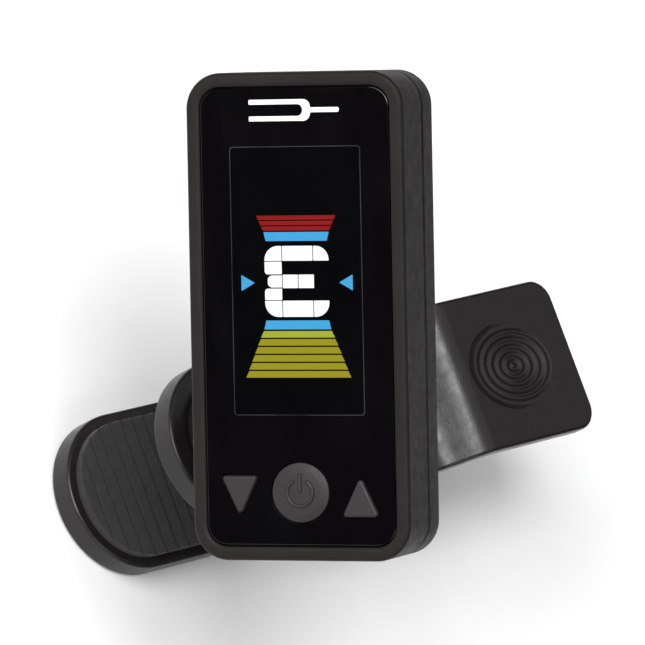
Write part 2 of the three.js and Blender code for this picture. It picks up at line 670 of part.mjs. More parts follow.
function knuckle(group) {
  const rear = -HEAD_DEPTH;
  const axis = rear - KNUCKLE_REACH;
  const discTop = rear - SLIDE_GAP;
  const discBottom = discTop - KNUCKLE_DISC_THICK;
  const disc = turned(
    [
      [0, discBottom],
      [KNUCKLE_DISC - KNUCKLE_CHAMFER, discBottom],
      [KNUCKLE_DISC, discBottom + KNUCKLE_CHAMFER],
      [KNUCKLE_DISC, discTop],
      [0, discTop],
    ],
    0,
    SWIVEL_Y,
  );
  const hub = rod(KNUCKLE_HUB, discTop - 0.2, HUB_TOP, 0, SWIVEL_Y, ROUND);
  // The tilt axis lies along the head group's turned x axis, so the lug is drawn in y and z.
  const lug = new THREE.Shape();
  lug.moveTo(SWIVEL_Y - LUG_RADIUS, discBottom + 0.3);
  lug.lineTo(SWIVEL_Y - LUG_RADIUS, axis);
  lug.absarc(SWIVEL_Y, axis, LUG_RADIUS, Math.PI, Math.PI * 2);
  lug.lineTo(SWIVEL_Y + LUG_RADIUS, discBottom + 0.3);
  const flat = new THREE.ExtrudeGeometry(lug, { depth: LUG_THICK, bevelEnabled: false, curveSegments: 12 });
  const tongue = solid(flat, shift(-LUG_THICK / 2, 0, 0).multiply(ACROSS));
  const boreRadius = PIVOT_RADIUS + SEAT_GAP;
  const bore = new THREE.CylinderGeometry(boreRadius, boreRadius, LUG_THICK + 2 * CUT_PAST, SMALL_ROUND);
  bore.rotateZ(Math.PI / 2);
  const boreTool = solid(bore, shift(0, SWIVEL_Y, axis));
  const screwShank = 0.7;
  const screwTip = rear - 3;
  const washerLow = HUB_TOP + SEAT_GAP;
  const washerTop = washerLow + 0.4;
  const screwSeat = washerTop + SEAT_GAP;
  const screwHole = rod(screwShank + SEAT_GAP, screwTip - 0.5, screwSeat, 0, SWIVEL_Y);
  piece(group, "head_knuckle", CASE_PLASTIC, cut(union([disc, hub, tongue]), [boreTool, screwHole]));

  const washer = ring(screwShank + SLIDE_GAP, 4.2, washerLow, washerTop, 0, SWIVEL_Y);
  piece(group, "swivel_washer", STEEL, washer);
  const headTop = screwSeat + 0.9;
  const head = rod(1.8, screwSeat, headTop, 0, SWIVEL_Y);
  const shank = rod(screwShank, screwTip, screwSeat + 0.1, 0, SWIVEL_Y, 16);
  const slot = box(-1.3, 1.3, SWIVEL_Y - 0.2, SWIVEL_Y + 0.2, headTop - 0.4, headTop + CUT_PAST);
  piece(group, "swivel_screw", STEEL, head.add(shank).subtract(slot));
}

// ---- arm: turntable, post and clevis, in a frame whose Y is the tilt axis ----

function swivelArm(group) {
  const plateLow = JAW_TOP + SLIDE_GAP;
  const half = CLEVIS_WIDTH / 2;
  const washerRoof = JAW_TOP + WASHER_THICK + SLIDE_GAP;
  const chamfer = 0.3;
  const disc = turned([
    [0, plateLow],
    [TURNTABLE_RADIUS - chamfer, plateLow],
    [TURNTABLE_RADIUS, plateLow + chamfer],
    [TURNTABLE_RADIUS, plateLow + TURNTABLE_THICK - 3 * chamfer],
    [TURNTABLE_RADIUS - 2 * chamfer, plateLow + TURNTABLE_THICK - chamfer],
    [0, plateLow + TURNTABLE_THICK],
  ]);
  const foot = plateLow + TURNTABLE_THICK / 2;
  const flare = foot + 3;
  const waist = TILT_HEIGHT - 12;
  const shoulder = TILT_HEIGHT - 8;
  const narrow = POST_WAIST_HALF;
  const post = new THREE.Shape();
  post.moveTo(-POST_FOOT_HALF, foot);
  post.lineTo(POST_FOOT_HALF, foot);
  post.quadraticCurveTo(narrow + 0.2, flare, narrow, waist);
  post.quadraticCurveTo(narrow, shoulder, CLEVIS_RADIUS, TILT_HEIGHT);
  post.absarc(0, TILT_HEIGHT, CLEVIS_RADIUS, 0, Math.PI);
  post.quadraticCurveTo(-narrow, shoulder, -narrow, waist);
  post.quadraticCurveTo(-narrow - 0.2, flare, -POST_FOOT_HALF, foot);
  const upright = sideExtrusion(post, -half, half, 8);
  const hub = rod(ARM_HUB, JAW_TOP - ARM_HUB_REACH, plateLow + 0.5);
  const slotFloor = TILT_HEIGHT - LUG_RADIUS - 0.5;
  const slotHalf = LUG_THICK / 2 + SLIDE_GAP;
  const clear = 2 * CLEVIS_RADIUS;
  const past = half + CUT_PAST;
  const seat = half - PIVOT_SEAT;
  const screwTop = plateLow + 4;
  const tools = [
    box(-clear, clear, -slotHalf, slotHalf, slotFloor, TILT_HEIGHT + clear),
    crossRod(PIVOT_RADIUS + SEAT_GAP, -past, past, 0, TILT_HEIGHT),
    crossRod(PIVOT_HEAD + SLIDE_GAP, seat, past, 0, TILT_HEIGHT),
    crossRod(PIVOT_NUT + SLIDE_GAP, -past, -seat, 0, TILT_HEIGHT, 6),
    rod(ARM_SCREW_SHANK + SEAT_GAP, JAW_TOP - 2, screwTop + 0.5),
    ring(WASHER_INNER - 0.2, WASHER_OUTER + 0.2, plateLow - CUT_PAST, washerRoof),
  ];
  piece(group, "swivel_arm", CASE_PLASTIC, cut(union([disc, upright, hub]), tools));

  const headLow = seat + SEAT_GAP;
  const headEnd = half + PIVOT_PROUD;
  const shank = crossRod(PIVOT_RADIUS, -half + 0.1, headLow + 0.2, 0, TILT_HEIGHT);
  const cap = crossRod(PIVOT_HEAD, headLow, headEnd, 0, TILT_HEIGHT);
  const drive = box(-1.5, 1.5, headEnd - 0.5, headEnd + CUT_PAST, TILT_HEIGHT - 0.25, TILT_HEIGHT + 0.25);
  piece(group, "pivot_screw", STEEL, shank.add(cap).subtract(drive));
  const nut = crossRod(PIVOT_NUT, -half - 0.1, -headLow, 0, TILT_HEIGHT, 6);
  const nutBore = crossRod(PIVOT_RADIUS + SEAT_GAP, -past, -headLow + CUT_PAST, 0, TILT_HEIGHT);
  piece(group, "pivot_nut", STEEL, nut.subtract(nutBore));

  const washerTop = JAW_TOP - ARM_HUB_REACH - SEAT_GAP;
  const washerLow = washerTop - WASHER_THICK;
  const washer = ring(ARM_SCREW_SHANK + 0.25, WASHER_INNER, washerLow, washerTop);
  piece(group, "turntable_washer", STEEL, washer);
  const screwSeat = washerLow - SEAT_GAP;
  const screwHead = rod(ARM_SCREW_HEAD, screwSeat - 0.7, screwSeat);
  const screwShank = rod(ARM_SCREW_SHANK, screwSeat - 0.2, screwTop, 0, 0, 16);
  const screwSlot = box(-1.4, 1.4, -0.2, 0.2, 0, screwSeat - 0.4);
  piece(group, "turntable_screw", STEEL, screwHead.add(screwShank).subtract(screwSlot));
}

// ---- clip ----

// Plan outline: a round jaw end, straight sides and a handle end with rounded corners.
function planOutline(halfWidth, end, corner) {
  const shape = new THREE.Shape();
  shape.moveTo(0, -halfWidth);
  shape.lineTo(end - corner, -halfWidth);
  shape.absarc(end - corner, -halfWidth + corner, corner, -Math.PI / 2, 0);
  shape.lineTo(end, halfWidth - corner);
  shape.absarc(end - corner, halfWidth - corner, corner, 0, Math.PI / 2);
  shape.lineTo(0, halfWidth);
  shape.absarc(0, 0, halfWidth, Math.PI / 2, Math.PI * 1.5);
  return shape;
}

// Hinge ear from two root points on a lever, jaw side first, round the pin.
function earProfile(jawRoot, handleRoot) {
  const shape = new THREE.Shape();
  const above = jawRoot.y > HINGE_Z;
  const roots = above ? [handleRoot, jawRoot] : [jawRoot, handleRoot];
  const from = above ? Math.PI : 0;
  shape.moveTo(roots[0].x, roots[0].y);
  shape.lineTo(roots[1].x, roots[1].y);
  shape.absarc(HINGE_X, HINGE_Z, EAR_RADIUS, from, from + Math.PI);
  shape.closePath();
  return shape;
}

// Shallow oval thumb dish with concentric ridges, deepest on the jaw side; a cutting tool for a top face.
function dishTool(x, topZ) {
  const depth = 0.5;
  const pitch = 0.95;
  const ridge = 0.12;
  const lean = 3.2;
  const profile = [[0, -depth + ridge]];
  const steps = Math.floor(DISH_RADIUS / pitch) * 2;
  for (let i = 1; i <= steps; i++) {
    const radius = (i * pitch) / 2;
    const bowl = -depth * (1 - (radius / DISH_RADIUS) ** 2);
    profile.push([radius, bowl + (i % 2 ? -ridge : ridge)]);
  }
  profile.push([DISH_RADIUS + 0.2, 0.1], [DISH_RADIUS + 0.2, 2], [0, 2]);
  const tool = turned(profile, 0, 0, 24);
  return tool.scale([DISH_STRETCH, 1, 1]).rotate([0, -lean, 0]).translate([x, 0, topZ]);
}

function padOutline(radius, end) {
  const shape = new THREE.Shape();
  shape.moveTo(0, -radius);
  shape.lineTo(end, -radius);
  shape.lineTo(end, radius);
  shape.lineTo(0, radius);
  shape.absarc(0, 0, radius, Math.PI / 2, Math.PI * 1.5);
  return shape;
}

function upperLever(group) {
  const end = HANDLE_END;
  const handleLow = HANDLE_TOP - HANDLE_THICK;
  const kneeLow = handleLow - HANDLE_RISE;
  const kneeTop = HANDLE_TOP - HANDLE_RISE;
  const side = new THREE.Shape();
  side.moveTo(-JAW_RADIUS, JAW_RIM);
  side.lineTo(BEND_START + 0.5, JAW_RIM);
  side.bezierCurveTo(BEND_START + 3.5, JAW_RIM, BEND_END - 2.5, kneeLow, BEND_END + 1, kneeLow);
  side.lineTo(end, handleLow);
  side.lineTo(end, HANDLE_TOP);
  side.lineTo(BEND_END, kneeTop);
  side.bezierCurveTo(BEND_END - 3, kneeTop - 0.1, BEND_START + 3, JAW_TOP, BEND_START, JAW_TOP);
  side.lineTo(-JAW_RADIUS, JAW_TOP);
  const plan = slab(planOutline(JAW_RADIUS, end, HANDLE_CORNER), -2, 12, 10);
  const bar = sideExtrusion(side, -JAW_RADIUS, JAW_RADIUS).intersect(plan);

  const rootZ = JAW_RIM + 0.6;
  const ear = earProfile(
    new THREE.Vector2(EAR_JAW_ROOT, rootZ),
    new THREE.Vector2(EAR_HANDLE_ROOT, rootZ),
  );
  const ears = [-EAR_OUTER, EAR_OUTER - EAR_THICK].map((y) => sideExtrusion(ear, y, y + EAR_THICK, 8));
  const below = JAW_RIM - CUT_PAST;
  const hubFit = ARM_HUB + SEAT_GAP;
  const channel = roundedRect(CHANNEL_LENGTH, CHANNEL_WIDTH, 1, CHANNEL_X);
  const tools = [
    slab(padOutline(PAD_RADIUS + SEAT_GAP, PAD_END + SEAT_GAP), below, PAD_THICK + SEAT_GAP, 8),
    rod(WASHER_INNER + 0.3, below, JAW_TOP - ARM_HUB_REACH, 0, 0, ROUND),
    rod(hubFit, 0, JAW_TOP + CUT_PAST),
    slab(channel, below, JAW_RIM + CHANNEL_DEPTH, 2),
    crossRod(HINGE_PIN + SEAT_GAP, -CLIP_WIDTH, CLIP_WIDTH, HINGE_X, HINGE_Z),
    dishTool(DISH_X, HANDLE_TOP - 0.25),
  ];
  piece(group, "upper_lever", CLIP_PLASTIC, cut(union([bar, ...ears]), tools));
  const washerLow = JAW_TOP + 0.05;
  const washer = ring(WASHER_INNER, WASHER_OUTER, washerLow, washerLow + WASHER_THICK);
  piece(group, "friction_washer", DARK_STEEL, washer);
}

function lowerLever(group) {
  const inner = -HEADSTOCK;
  const jawOuter = inner - JAW_TOP;
  const jawRim = inner - JAW_RIM;
  const end = HANDLE_END - LOWER_HANDLE_SHORT;
  const handleTop = LOWER_HANDLE_TOP;
  const thick = LOWER_HANDLE_THICK;
  const side = new THREE.Shape();
  side.moveTo(-JAW_RADIUS, jawOuter);
  side.lineTo(LOWER_JAW_FLAT, jawOuter);
  side.quadraticCurveTo(LOWER_JAW_FLAT + 3, jawOuter, LOWER_JAW_FLAT + 6, jawOuter + 1.1);
  side.lineTo(end, handleTop - thick);
  side.lineTo(end, handleTop);
  side.lineTo(LOWER_RISE, jawRim - 0.1);
  side.quadraticCurveTo(LOWER_RISE - 1, jawRim, LOWER_RISE - 2.5, jawRim);
  side.lineTo(-JAW_RADIUS, jawRim);
  const nestHalf = EAR_OUTER - EAR_THICK - SLIDE_GAP - 0.1;
  const plan = union([
    slab(planOutline(nestHalf - 0.2, end, HANDLE_CORNER), jawOuter - 2, 2, 10),
    slab(planOutline(JAW_RADIUS, PAD_END + 3, HANDLE_CORNER), jawOuter - 2, 2, 10),
  ]);
  const bar = sideExtrusion(side, -JAW_RADIUS, JAW_RADIUS).intersect(plan);
  const slope = Math.atan2(handleTop - (jawRim - 0.1), end - LOWER_RISE);
  const rootAt = (x) => new THREE.Vector2(x, handleTop - 0.8 - (end - x) * Math.tan(slope));
  const ear = earProfile(rootAt(EAR_JAW_ROOT), rootAt(EAR_HANDLE_ROOT + 0.5));
  const ears = [-nestHalf, nestHalf - EAR_THICK].map((y) => sideExtrusion(ear, y, y + EAR_THICK, 8));
  const roof = inner - PAD_THICK - SEAT_GAP;
  const dish = turned([
    [0, -2],
    [DISH_RADIUS, -2],
    [DISH_RADIUS, 0],
    [DISH_RADIUS * 0.6, 0.4],
    [0, 0.5],
  ]);
  const dishZ = handleTop - thick - (end - DISH_X) * Math.tan(slope);
  const lean = THREE.MathUtils.radToDeg(slope);
  const tools = [
    slab(padOutline(PAD_RADIUS + SEAT_GAP, PAD_END + SEAT_GAP), roof, jawRim + CUT_PAST, 8),
    crossRod(HINGE_PIN + SEAT_GAP, -CLIP_WIDTH, CLIP_WIDTH, HINGE_X, HINGE_Z),
    dish.scale([DISH_STRETCH, 1, 1]).rotate([0, -lean, 0]).translate([DISH_X, 0, dishZ]),
  ];
  piece(group, "lower_lever", CLIP_PLASTIC, cut(union([bar, ...ears]), tools));
}

function pads(group) {
  const outline = padOutline(PAD_RADIUS, PAD_END);
  piece(group, "upper_pad", PAD_RUBBER, slab(outline, 0, PAD_THICK, 8));
  piece(group, "lower_pad", PAD_RUBBER, slab(outline, -HEADSTOCK - PAD_THICK, -HEADSTOCK, 8));
}

function hingePin(group) {
  const half = EAR_OUTER + SEAT_GAP;
  const shank = crossRod(HINGE_PIN, -half - 0.1, half + 0.1, HINGE_X, HINGE_Z);
  const heads = [-half - RIVET_THICK, half].map((y) =>
    crossRod(RIVET_RADIUS, y, y + RIVET_THICK, HINGE_X, HINGE_Z),
  );
  piece(group, "hinge_pin", STEEL, union([shank, ...heads]));
}

// Torsion spring: an arm under the upper handle, a coil round the pin, an arm on the lower handle.
class SpringPath extends THREE.Curve {
  constructor(upperAngle, lowerAngle, reach, turns) {
    super();
    this.from = radians(upperAngle) + Math.PI / 2;
    this.to = radians(lowerAngle) - Math.PI / 2 + Math.PI * 2 * turns;
    this.reach = reach;
    this.coil = COIL_RADIUS * (this.to - this.from);
  }
  onCoil(angle) {
    const along = (angle - this.from) / (this.to - this.from);
    const x = HINGE_X + COIL_RADIUS * Math.cos(angle);
    const z = HINGE_Z + COIL_RADIUS * Math.sin(angle);
    return new THREE.Vector3(x, COIL_HALF - 2 * COIL_HALF * along, z);
  }
  getPoint(t, target = new THREE.Vector3()) {
    const place = t * (this.coil + 2 * this.reach);
    const beyond = Math.max(this.reach - place, place - this.reach - this.coil, 0);
    const share = THREE.MathUtils.clamp((place - this.reach) / this.coil, 0, 1);
    const angle = this.from + (this.to - this.from) * share;
    const sense = share < 0.5 ? -1 : 1;
    const outward = new THREE.Vector3(-Math.sin(angle), 0, Math.cos(angle)).multiplyScalar(sense);
    return target.copy(this.onCoil(angle)).addScaledVector(outward, beyond);
  }
}

function torsionSpring(group) {
  const path = new SpringPath(SPRING_UPPER_ANGLE, SPRING_LOWER_ANGLE, SPRING_REACH, SPRING_TURNS);
  const section = new THREE.Shape().absarc(0, 0, WIRE, 0, Math.PI * 2);
  const wire = new THREE.ExtrudeGeometry(section, { steps: 130, extrudePath: path, curveSegments: 3 });
  piece(group, "torsion_spring", STEEL, solid(wire));
}

// ---- assembly ----

const tuner = new THREE.Group();
const clip = new THREE.Group();
tuner.add(clip);
upperLever(clip);
lowerLever(clip);
pads(clip);
hingePin(clip);
torsionSpring(clip);

// The arm turns about the clamp's normal.
const arm = new THREE.Group();
arm.rotation.z = radians(BASE_ANGLE);
clip.add(arm);
swivelArm(arm);

// The knuckle tilts about the arm's Y axis; its frame reads upright and faces away from the arm.
const tilt = new THREE.Group();
tilt.position.z = TILT_HEIGHT;
tilt.rotation.y = -radians(TILT_ANGLE);
arm.add(tilt);
const facing = new THREE.Group();
facing.quaternion.setFromRotationMatrix(ACROSS);
tilt.add(facing);
const headOffset = new THREE.Vector3(0, -SWIVEL_Y, HEAD_DEPTH + KNUCKLE_REACH);
const knuckleFrame = new THREE.Group();
knuckleFrame.position.copy(headOffset);
facing.add(knuckleFrame);
knuckle(knuckleFrame);

// The head turns about the knuckle's hub.
const roll = new THREE.Group();
roll.rotation.z = radians(ROLL_ANGLE);
facing.add(roll);
const head = new THREE.Group();
head.position.copy(headOffset);
roll.add(head);
frontBezel(head);
lensAndKeys(head);
display(head);
electronics(head);
battery(head);
rearShell(head);
batteryDoor(head);
shellScrews(head);

export default tuner;
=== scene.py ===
"""A clip-on headstock tuner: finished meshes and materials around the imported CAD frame.

Every piece is drawn in millimetres in the frame of the sub-assembly that it belongs to (head, knuckle,
arm or clip). Those frames come from the joints' axes and from the CAD nodes' own extents.
"""

import json
import math

import bmesh
import bpy
import numpy as np
from mathutils import Matrix, Vector


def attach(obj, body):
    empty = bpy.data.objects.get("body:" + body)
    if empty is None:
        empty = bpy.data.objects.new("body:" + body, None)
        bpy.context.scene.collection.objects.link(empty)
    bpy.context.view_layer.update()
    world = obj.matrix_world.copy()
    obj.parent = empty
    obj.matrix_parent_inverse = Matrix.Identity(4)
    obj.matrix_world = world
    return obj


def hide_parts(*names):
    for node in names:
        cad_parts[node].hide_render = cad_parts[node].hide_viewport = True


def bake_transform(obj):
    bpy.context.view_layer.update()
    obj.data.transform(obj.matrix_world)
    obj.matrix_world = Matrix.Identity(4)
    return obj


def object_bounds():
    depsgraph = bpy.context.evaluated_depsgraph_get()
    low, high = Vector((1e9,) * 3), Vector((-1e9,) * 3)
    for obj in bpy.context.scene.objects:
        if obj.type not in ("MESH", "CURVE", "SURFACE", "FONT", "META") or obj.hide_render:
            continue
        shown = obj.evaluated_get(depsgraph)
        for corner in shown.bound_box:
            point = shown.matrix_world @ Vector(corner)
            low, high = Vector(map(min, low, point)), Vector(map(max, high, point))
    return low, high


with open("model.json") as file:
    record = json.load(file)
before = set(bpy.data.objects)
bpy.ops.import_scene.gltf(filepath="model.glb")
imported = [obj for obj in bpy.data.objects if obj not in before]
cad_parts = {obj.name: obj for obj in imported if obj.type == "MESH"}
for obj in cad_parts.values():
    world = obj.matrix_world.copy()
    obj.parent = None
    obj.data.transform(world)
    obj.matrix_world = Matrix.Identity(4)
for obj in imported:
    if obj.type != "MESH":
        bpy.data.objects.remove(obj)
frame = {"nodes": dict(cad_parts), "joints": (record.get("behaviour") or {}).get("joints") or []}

CAD_BOX = [list(corner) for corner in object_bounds()]
MM = 0.001

# ---- dimensions in millimetres that the frame doesn't give ----

SLIDE_GAP = 0.15  # between surfaces that slide or turn on each other
SEAT_GAP = 0.1  # between parts that rest or are glued on each other
CUT_PAST = 1.0  # how far a cutting tool runs past the face that it opens
EDGE_ROUND = 0.5
PART_ROUND = 0.25
CUT_ROUND = 0.12
FINE_ROUND = 0.06
ARC_GAP = 0.01  # left between two corner arcs that would meet

# Head casing.
HEAD_CORNER = 4.0
WALL = 1.7
FLOOR_THICK = 1.4
JOINT_CHAMFER = 0.08
LENS_CORNER = 2.4
LEDGE_WIDTH = 0.65
LEDGE_THICK = 0.85
BOSS_RADIUS = 2.0
SCREW_SHANK = 0.7
SCREW_HEAD = 1.35
SCREW_HEAD_THICK = 0.75
SCREW_SEAT = 1.1
HUB_RADIUS = 2.8
HUB_TOP = -8.7
COLLAR_WIDTH = 2.2

# Keys, in the row below the display.
KEY_ROW_Y = -20.0
POWER_Y = -19.6
ARROW_X = 7.1
ARROW_WIDTH = 4.4
ARROW_HEIGHT = 4.6
ARROW_CORNER = 0.35
FLANGE_THICK = 0.55
FLANGE_WIDTH = 0.5

# Battery bay.
CELL_CAP_RADIUS = 8.4
DOOR_HALF = 10.5
RAIL_LOW = -10.6
RAIL_HIGH = -10.1
RAIL_WIDTH = 0.45
GRIP_COUNT = 4
GRIP_LENGTH = 9.0
GRIP_WIDTH = 0.7
GRIP_PITCH = 1.5
GRIP_DEPTH = 0.35
GRIP_CORNER = 0.34
BAY_FLOOR_TOP = -8.6

# Marks on the window.
INK_PROUD = 0.012
INK_SUNK = 0.04


# ---- frames ----

joints = {joint["name"]: joint for joint in frame["joints"]}


def axis_of(name):
    """Unit vector along a joint's axis."""
    return Vector(joints[name]["axis"]).normalized()


def place_for(origin, right, up, out):
    """Matrix from local millimetres to the row frame's metres."""
    turn = Matrix((right, up, out)).transposed().to_4x4()
    return Matrix.Translation(origin) @ turn @ Matrix.Scale(MM, 4)


def extent(node, place):
    """Lowest and highest corner of a CAD node in a local frame, in millimetres."""
    inverse = place.inverted()
    points = np.array([inverse @ v.co for v in frame["nodes"][node].data.vertices])
    return Vector(points.min(0)), Vector(points.max(0))


def head_frame():
    """x right, y up and z out of the display, zero at the centre of the bezel's front edge."""
    out = -axis_of("power_key_press")
    up = axis_of("battery_door_slide")
    axes = place_for(Vector(), up.cross(out), up, out)
    low, high = extent("front_bezel", axes)
    return axes @ Matrix.Translation(((low.x + high.x) / 2, (low.y + high.y) / 2, high.z))


def knuckle_frame():
    """x along the tilt axis, z towards the head, zero on the tilt axis."""
    out = axis_of("head_swivel")
    right = axis_of("arm_tilt")
    return place_for(Vector(joints["arm_tilt"]["pos_m"]), right, out.cross(right), out)


def arm_frame():
    """y along the tilt axis, z up, zero at the pad's contact face."""
    along = axis_of("arm_tilt")
    up = Vector((0, 0, 1))
    return place_for(Vector(), along.cross(up), along, up)


HEAD = head_frame()
KNUCKLE = knuckle_frame()
ARM = arm_frame()
CLIP = Matrix.Scale(MM, 4)
SIDEWAYS = Matrix(((1, 0, 0, 0), (0, 0, -1, 0), (0, 1, 0, 0), (0, 0, 0, 1)))  # profile in x and z
ACROSS = Matrix(((0, 0, 1, 0), (1, 0, 0, 0), (0, 1, 0, 0), (0, 0, 0, 1)))  # profile in y and z


# ---- outlines: lists of (x, y, nx, ny), counterclockwise, with outward normals ----


def arc(x, y, radius, start, end, steps=12):
    """Points of a convex arc, angles in degrees."""
    points = []
    for i in range(steps + 1):
        angle = math.radians(start + (end - start) * i / steps)
        c, s = math.cos(angle), math.sin(angle)
        points.append((x + radius * c, y + radius * s, c, s))
    return points


def circle(radius, x=0.0, y=0.0, sides=64):
    return arc(x, y, radius, 0, 360, sides)[:-1]


def rounded_rect(width, height, corner, x=0.0, y=0.0, steps=12):
    w, h = width / 2 - corner, height / 2 - corner
    return (
        arc(x + w, y - h, corner, -90, 0, steps)
        + arc(x + w, y + h, corner, 0, 90, steps)
        + arc(x - w, y + h, corner, 90, 180, steps)
        + arc(x - w, y - h, corner, 180, 270, steps)
    )


def outline(corners, steps=8):
    """Closed outline through (x, y, radius) corners, each rounded to its own radius."""
    points = []
    for i, (x, y, radius) in enumerate(corners):
        here = Vector((x, y))
        before = (Vector(corners[i - 1][:2]) - here).normalized()
        after = (Vector(corners[(i + 1) % len(corners)][:2]) - here).normalized()
        half = before.angle(after) / 2
        sense = -1 if before.x * after.y - before.y * after.x > 0 else 1
        hub = here + (before + after).normalized() * radius / math.sin(half)
        first = here + before * radius / math.tan(half) - hub
        start = math.atan2(first.y, first.x)
        sweep_angle = sense * (math.pi - 2 * half)
        count = max(2, round(steps * abs(sweep_angle) / (math.pi / 2)))
        for k in range(count + 1):
            angle = start + sweep_angle * k / count
            c, s = math.cos(angle), math.sin(angle)
            points.append((hub.x + radius * c, hub.y + radius * s, sense * c, sense * s))
    return points


# ---- solids: each returns a bmesh in local millimetres ----


def rounded_section(low, high, low_edge, high_edge, steps=4):
    """(inset, height) pairs up the side of a slab whose two end faces have rounded edges."""
    section = [(0.0, low)] if low_edge == 0 else []
    for i in range(steps + 1 if low_edge else 0):
        angle = math.pi / 2 * i / steps
        section.append((low_edge * (1 - math.sin(angle)), low + low_edge * (1 - math.cos(angle))))
    for i in range(steps + 1 if high_edge else 0):
        angle = math.pi / 2 * i / steps
        section.append((high_edge * (1 - math.cos(angle)), high - high_edge * (1 - math.sin(angle))))
    return section + ([(0.0, high)] if high_edge == 0 else [])


def bridge(bm, rings):
    """Faces between each ring of vertices and the next."""
    for low, high in zip(rings, rings[1:]):
        for i in range(len(low)):
            j = (i + 1) % len(low)
            bm.faces.new((low[i], low[j], high[j], high[i]))


def sweep(points, section, closed=False, turn=None):
    """Carries a section of (inset, height) pairs round an outline, capped unless the section is closed."""
    bm = bmesh.new()
    rings = [
        [bm.verts.new((x - nx * inset, y - ny * inset, height)) for x, y, nx, ny in points]
        for inset, height in section
    ]
    bridge(bm, [*rings, rings[0]] if closed else rings)
    if not closed:
        bm.faces.new(rings[0][::-1])
        bm.faces.new(rings[-1])
    if turn:
        bm.transform(turn)
    return bm


def slab(points, low, high, low_edge=0.0, high_edge=0.0, turn=None):
    return sweep(points, rounded_section(low, high, low_edge, high_edge), turn=turn)


def box(x0, x1, y0, y1, z0, z1):
    return slab([(x0, y0, 0, 0), (x1, y0, 0, 0), (x1, y1, 0, 0), (x0, y1, 0, 0)], z0, z1)


def rod(radius, low, high, x=0.0, y=0.0, sides=64):
    return slab(circle(radius, x, y, sides), low, high)


def cross_rod(radius, low, high, x, z, sides=48):
    """Rod along y; SIDEWAYS turns height into minus y."""
    return slab(circle(radius, x, z, sides), -high, -low, turn=SIDEWAYS)


def lathe(profile, x=0.0, y=0.0, sides=96, turn=None):
    """Body of revolution from (radius, height) points that run up from axis to axis."""
    bm = bmesh.new()
    bottom = bm.verts.new((x, y, profile[0][1]))
    top = bm.verts.new((x, y, profile[-1][1]))
    rings = []
    for radius, height in profile[1:-1]:
        ring = []
        for k in range(sides):
            angle = 2 * math.pi * k / sides
            c, s = math.cos(angle), math.sin(angle)
            ring.append(bm.verts.new((x + radius * c, y + radius * s, height)))
        rings.append(ring)
    for k in range(sides):
        n = (k + 1) % sides
        bm.faces.new((bottom, rings[0][n], rings[0][k]))
        bm.faces.new((top, rings[-1][k], rings[-1][n]))
        for low, high in zip(rings, rings[1:]):
            bm.faces.new((low[k], low[n], high[n], high[k]))
    if turn:
        bm.transform(turn)
    return bm


def rounded_profile(points, steps=5):
    """Profile for lathe through (radius, height, round) points; the first and last lie on the axis."""
    out = [points[0][:2]]
    for before, here, after in zip(points, points[1:], points[2:]):
        corner = Vector(here[:2])
        back = Vector(before[:2]) - corner
        on = Vector(after[:2]) - corner
        if not here[2]:
            out.append(tuple(corner))
            continue
        half = back.angle(on) / 2
        reach = here[2] / math.tan(half)
        start = corner + back.normalized() * reach
        end = corner + on.normalized() * reach
        for i in range(steps + 1):
            t = i / steps
            out.append(tuple(start * (1 - t) ** 2 + corner * 2 * t * (1 - t) + end * t * t))
    out.append(points[-1][:2])
    return out


def tube(path, radius, sides=12):
    """Round wire along a list of points, with domed ends."""
    points = [Vector(p) for p in path]
    tangents = [(b - a).normalized() for a, b in zip(points, points[1:])]
    tangents.append(tangents[-1])
    side = tangents[0].orthogonal().normalized()
    bm = bmesh.new()
    rings = []

    def add_ring(centre, tangent, size):
        other = tangent.cross(side)
        ring = []
        for k in range(sides):
            angle = 2 * math.pi * k / sides
            ring.append(bm.verts.new(centre + size * (side * math.cos(angle) + other * math.sin(angle))))
        rings.append(ring)

    for angle in (75, 50, 25):
        a = math.radians(angle)
        add_ring(points[0] - tangents[0] * radius * math.sin(a), tangents[0], radius * math.cos(a))
    for point, tangent in zip(points, tangents):
        side = (side - tangent * side.dot(tangent)).normalized()
        add_ring(point, tangent, radius)
    for angle in (25, 50, 75):
        a = math.radians(angle)
        add_ring(points[-1] + tangents[-1] * radius * math.sin(a), tangents[-1], radius * math.cos(a))
    bridge(bm, rings)
    bm.faces.new(rings[0][::-1])
    bm.faces.new(rings[-1])
    return bm


def mesh_from(name, bm):
    """Mesh made from a bmesh, which is freed."""
    mesh = bpy.data.meshes.new(name)
    bm.to_mesh(mesh)
    bm.free()
    return mesh


def add_object(name, data):
    """New object with the given data, linked to the scene."""
    obj = bpy.data.objects.new(name, data)
    bpy.context.scene.collection.objects.link(obj)
    return obj


def merged(parts):
    """Several separate solids in one bmesh, so that one boolean can use them all."""
    whole = parts[0]
    for part in parts[1:]:
        mesh = mesh_from("scratch", part)
        whole.from_mesh(mesh)
        bpy.data.meshes.remove(mesh)
    return whole


def combine(body, tools, operation):
    """Exact boolean of one solid with others, in order."""
    base, *others = [add_object("scratch", mesh_from("scratch", bm)) for bm in (body, *tools)]
    for other in others:
        modifier = base.modifiers.new("boolean", "BOOLEAN")
        modifier.operation = operation
        modifier.solver = "EXACT"
        modifier.object = other
    bpy.context.view_layer.update()
    result = bmesh.new()
    result.from_object(base, bpy.context.evaluated_depsgraph_get())
    for obj in [base, *others]:
        mesh = obj.data
        bpy.data.objects.remove(obj)
        bpy.data.meshes.remove(mesh)
    return result


def join(body, *tools):
    return combine(body, tools, "UNION")


def cut(body, *tools):
    return combine(body, tools, "DIFFERENCE")


def clip_to(body, tool):
    return combine(body, [tool], "INTERSECT")


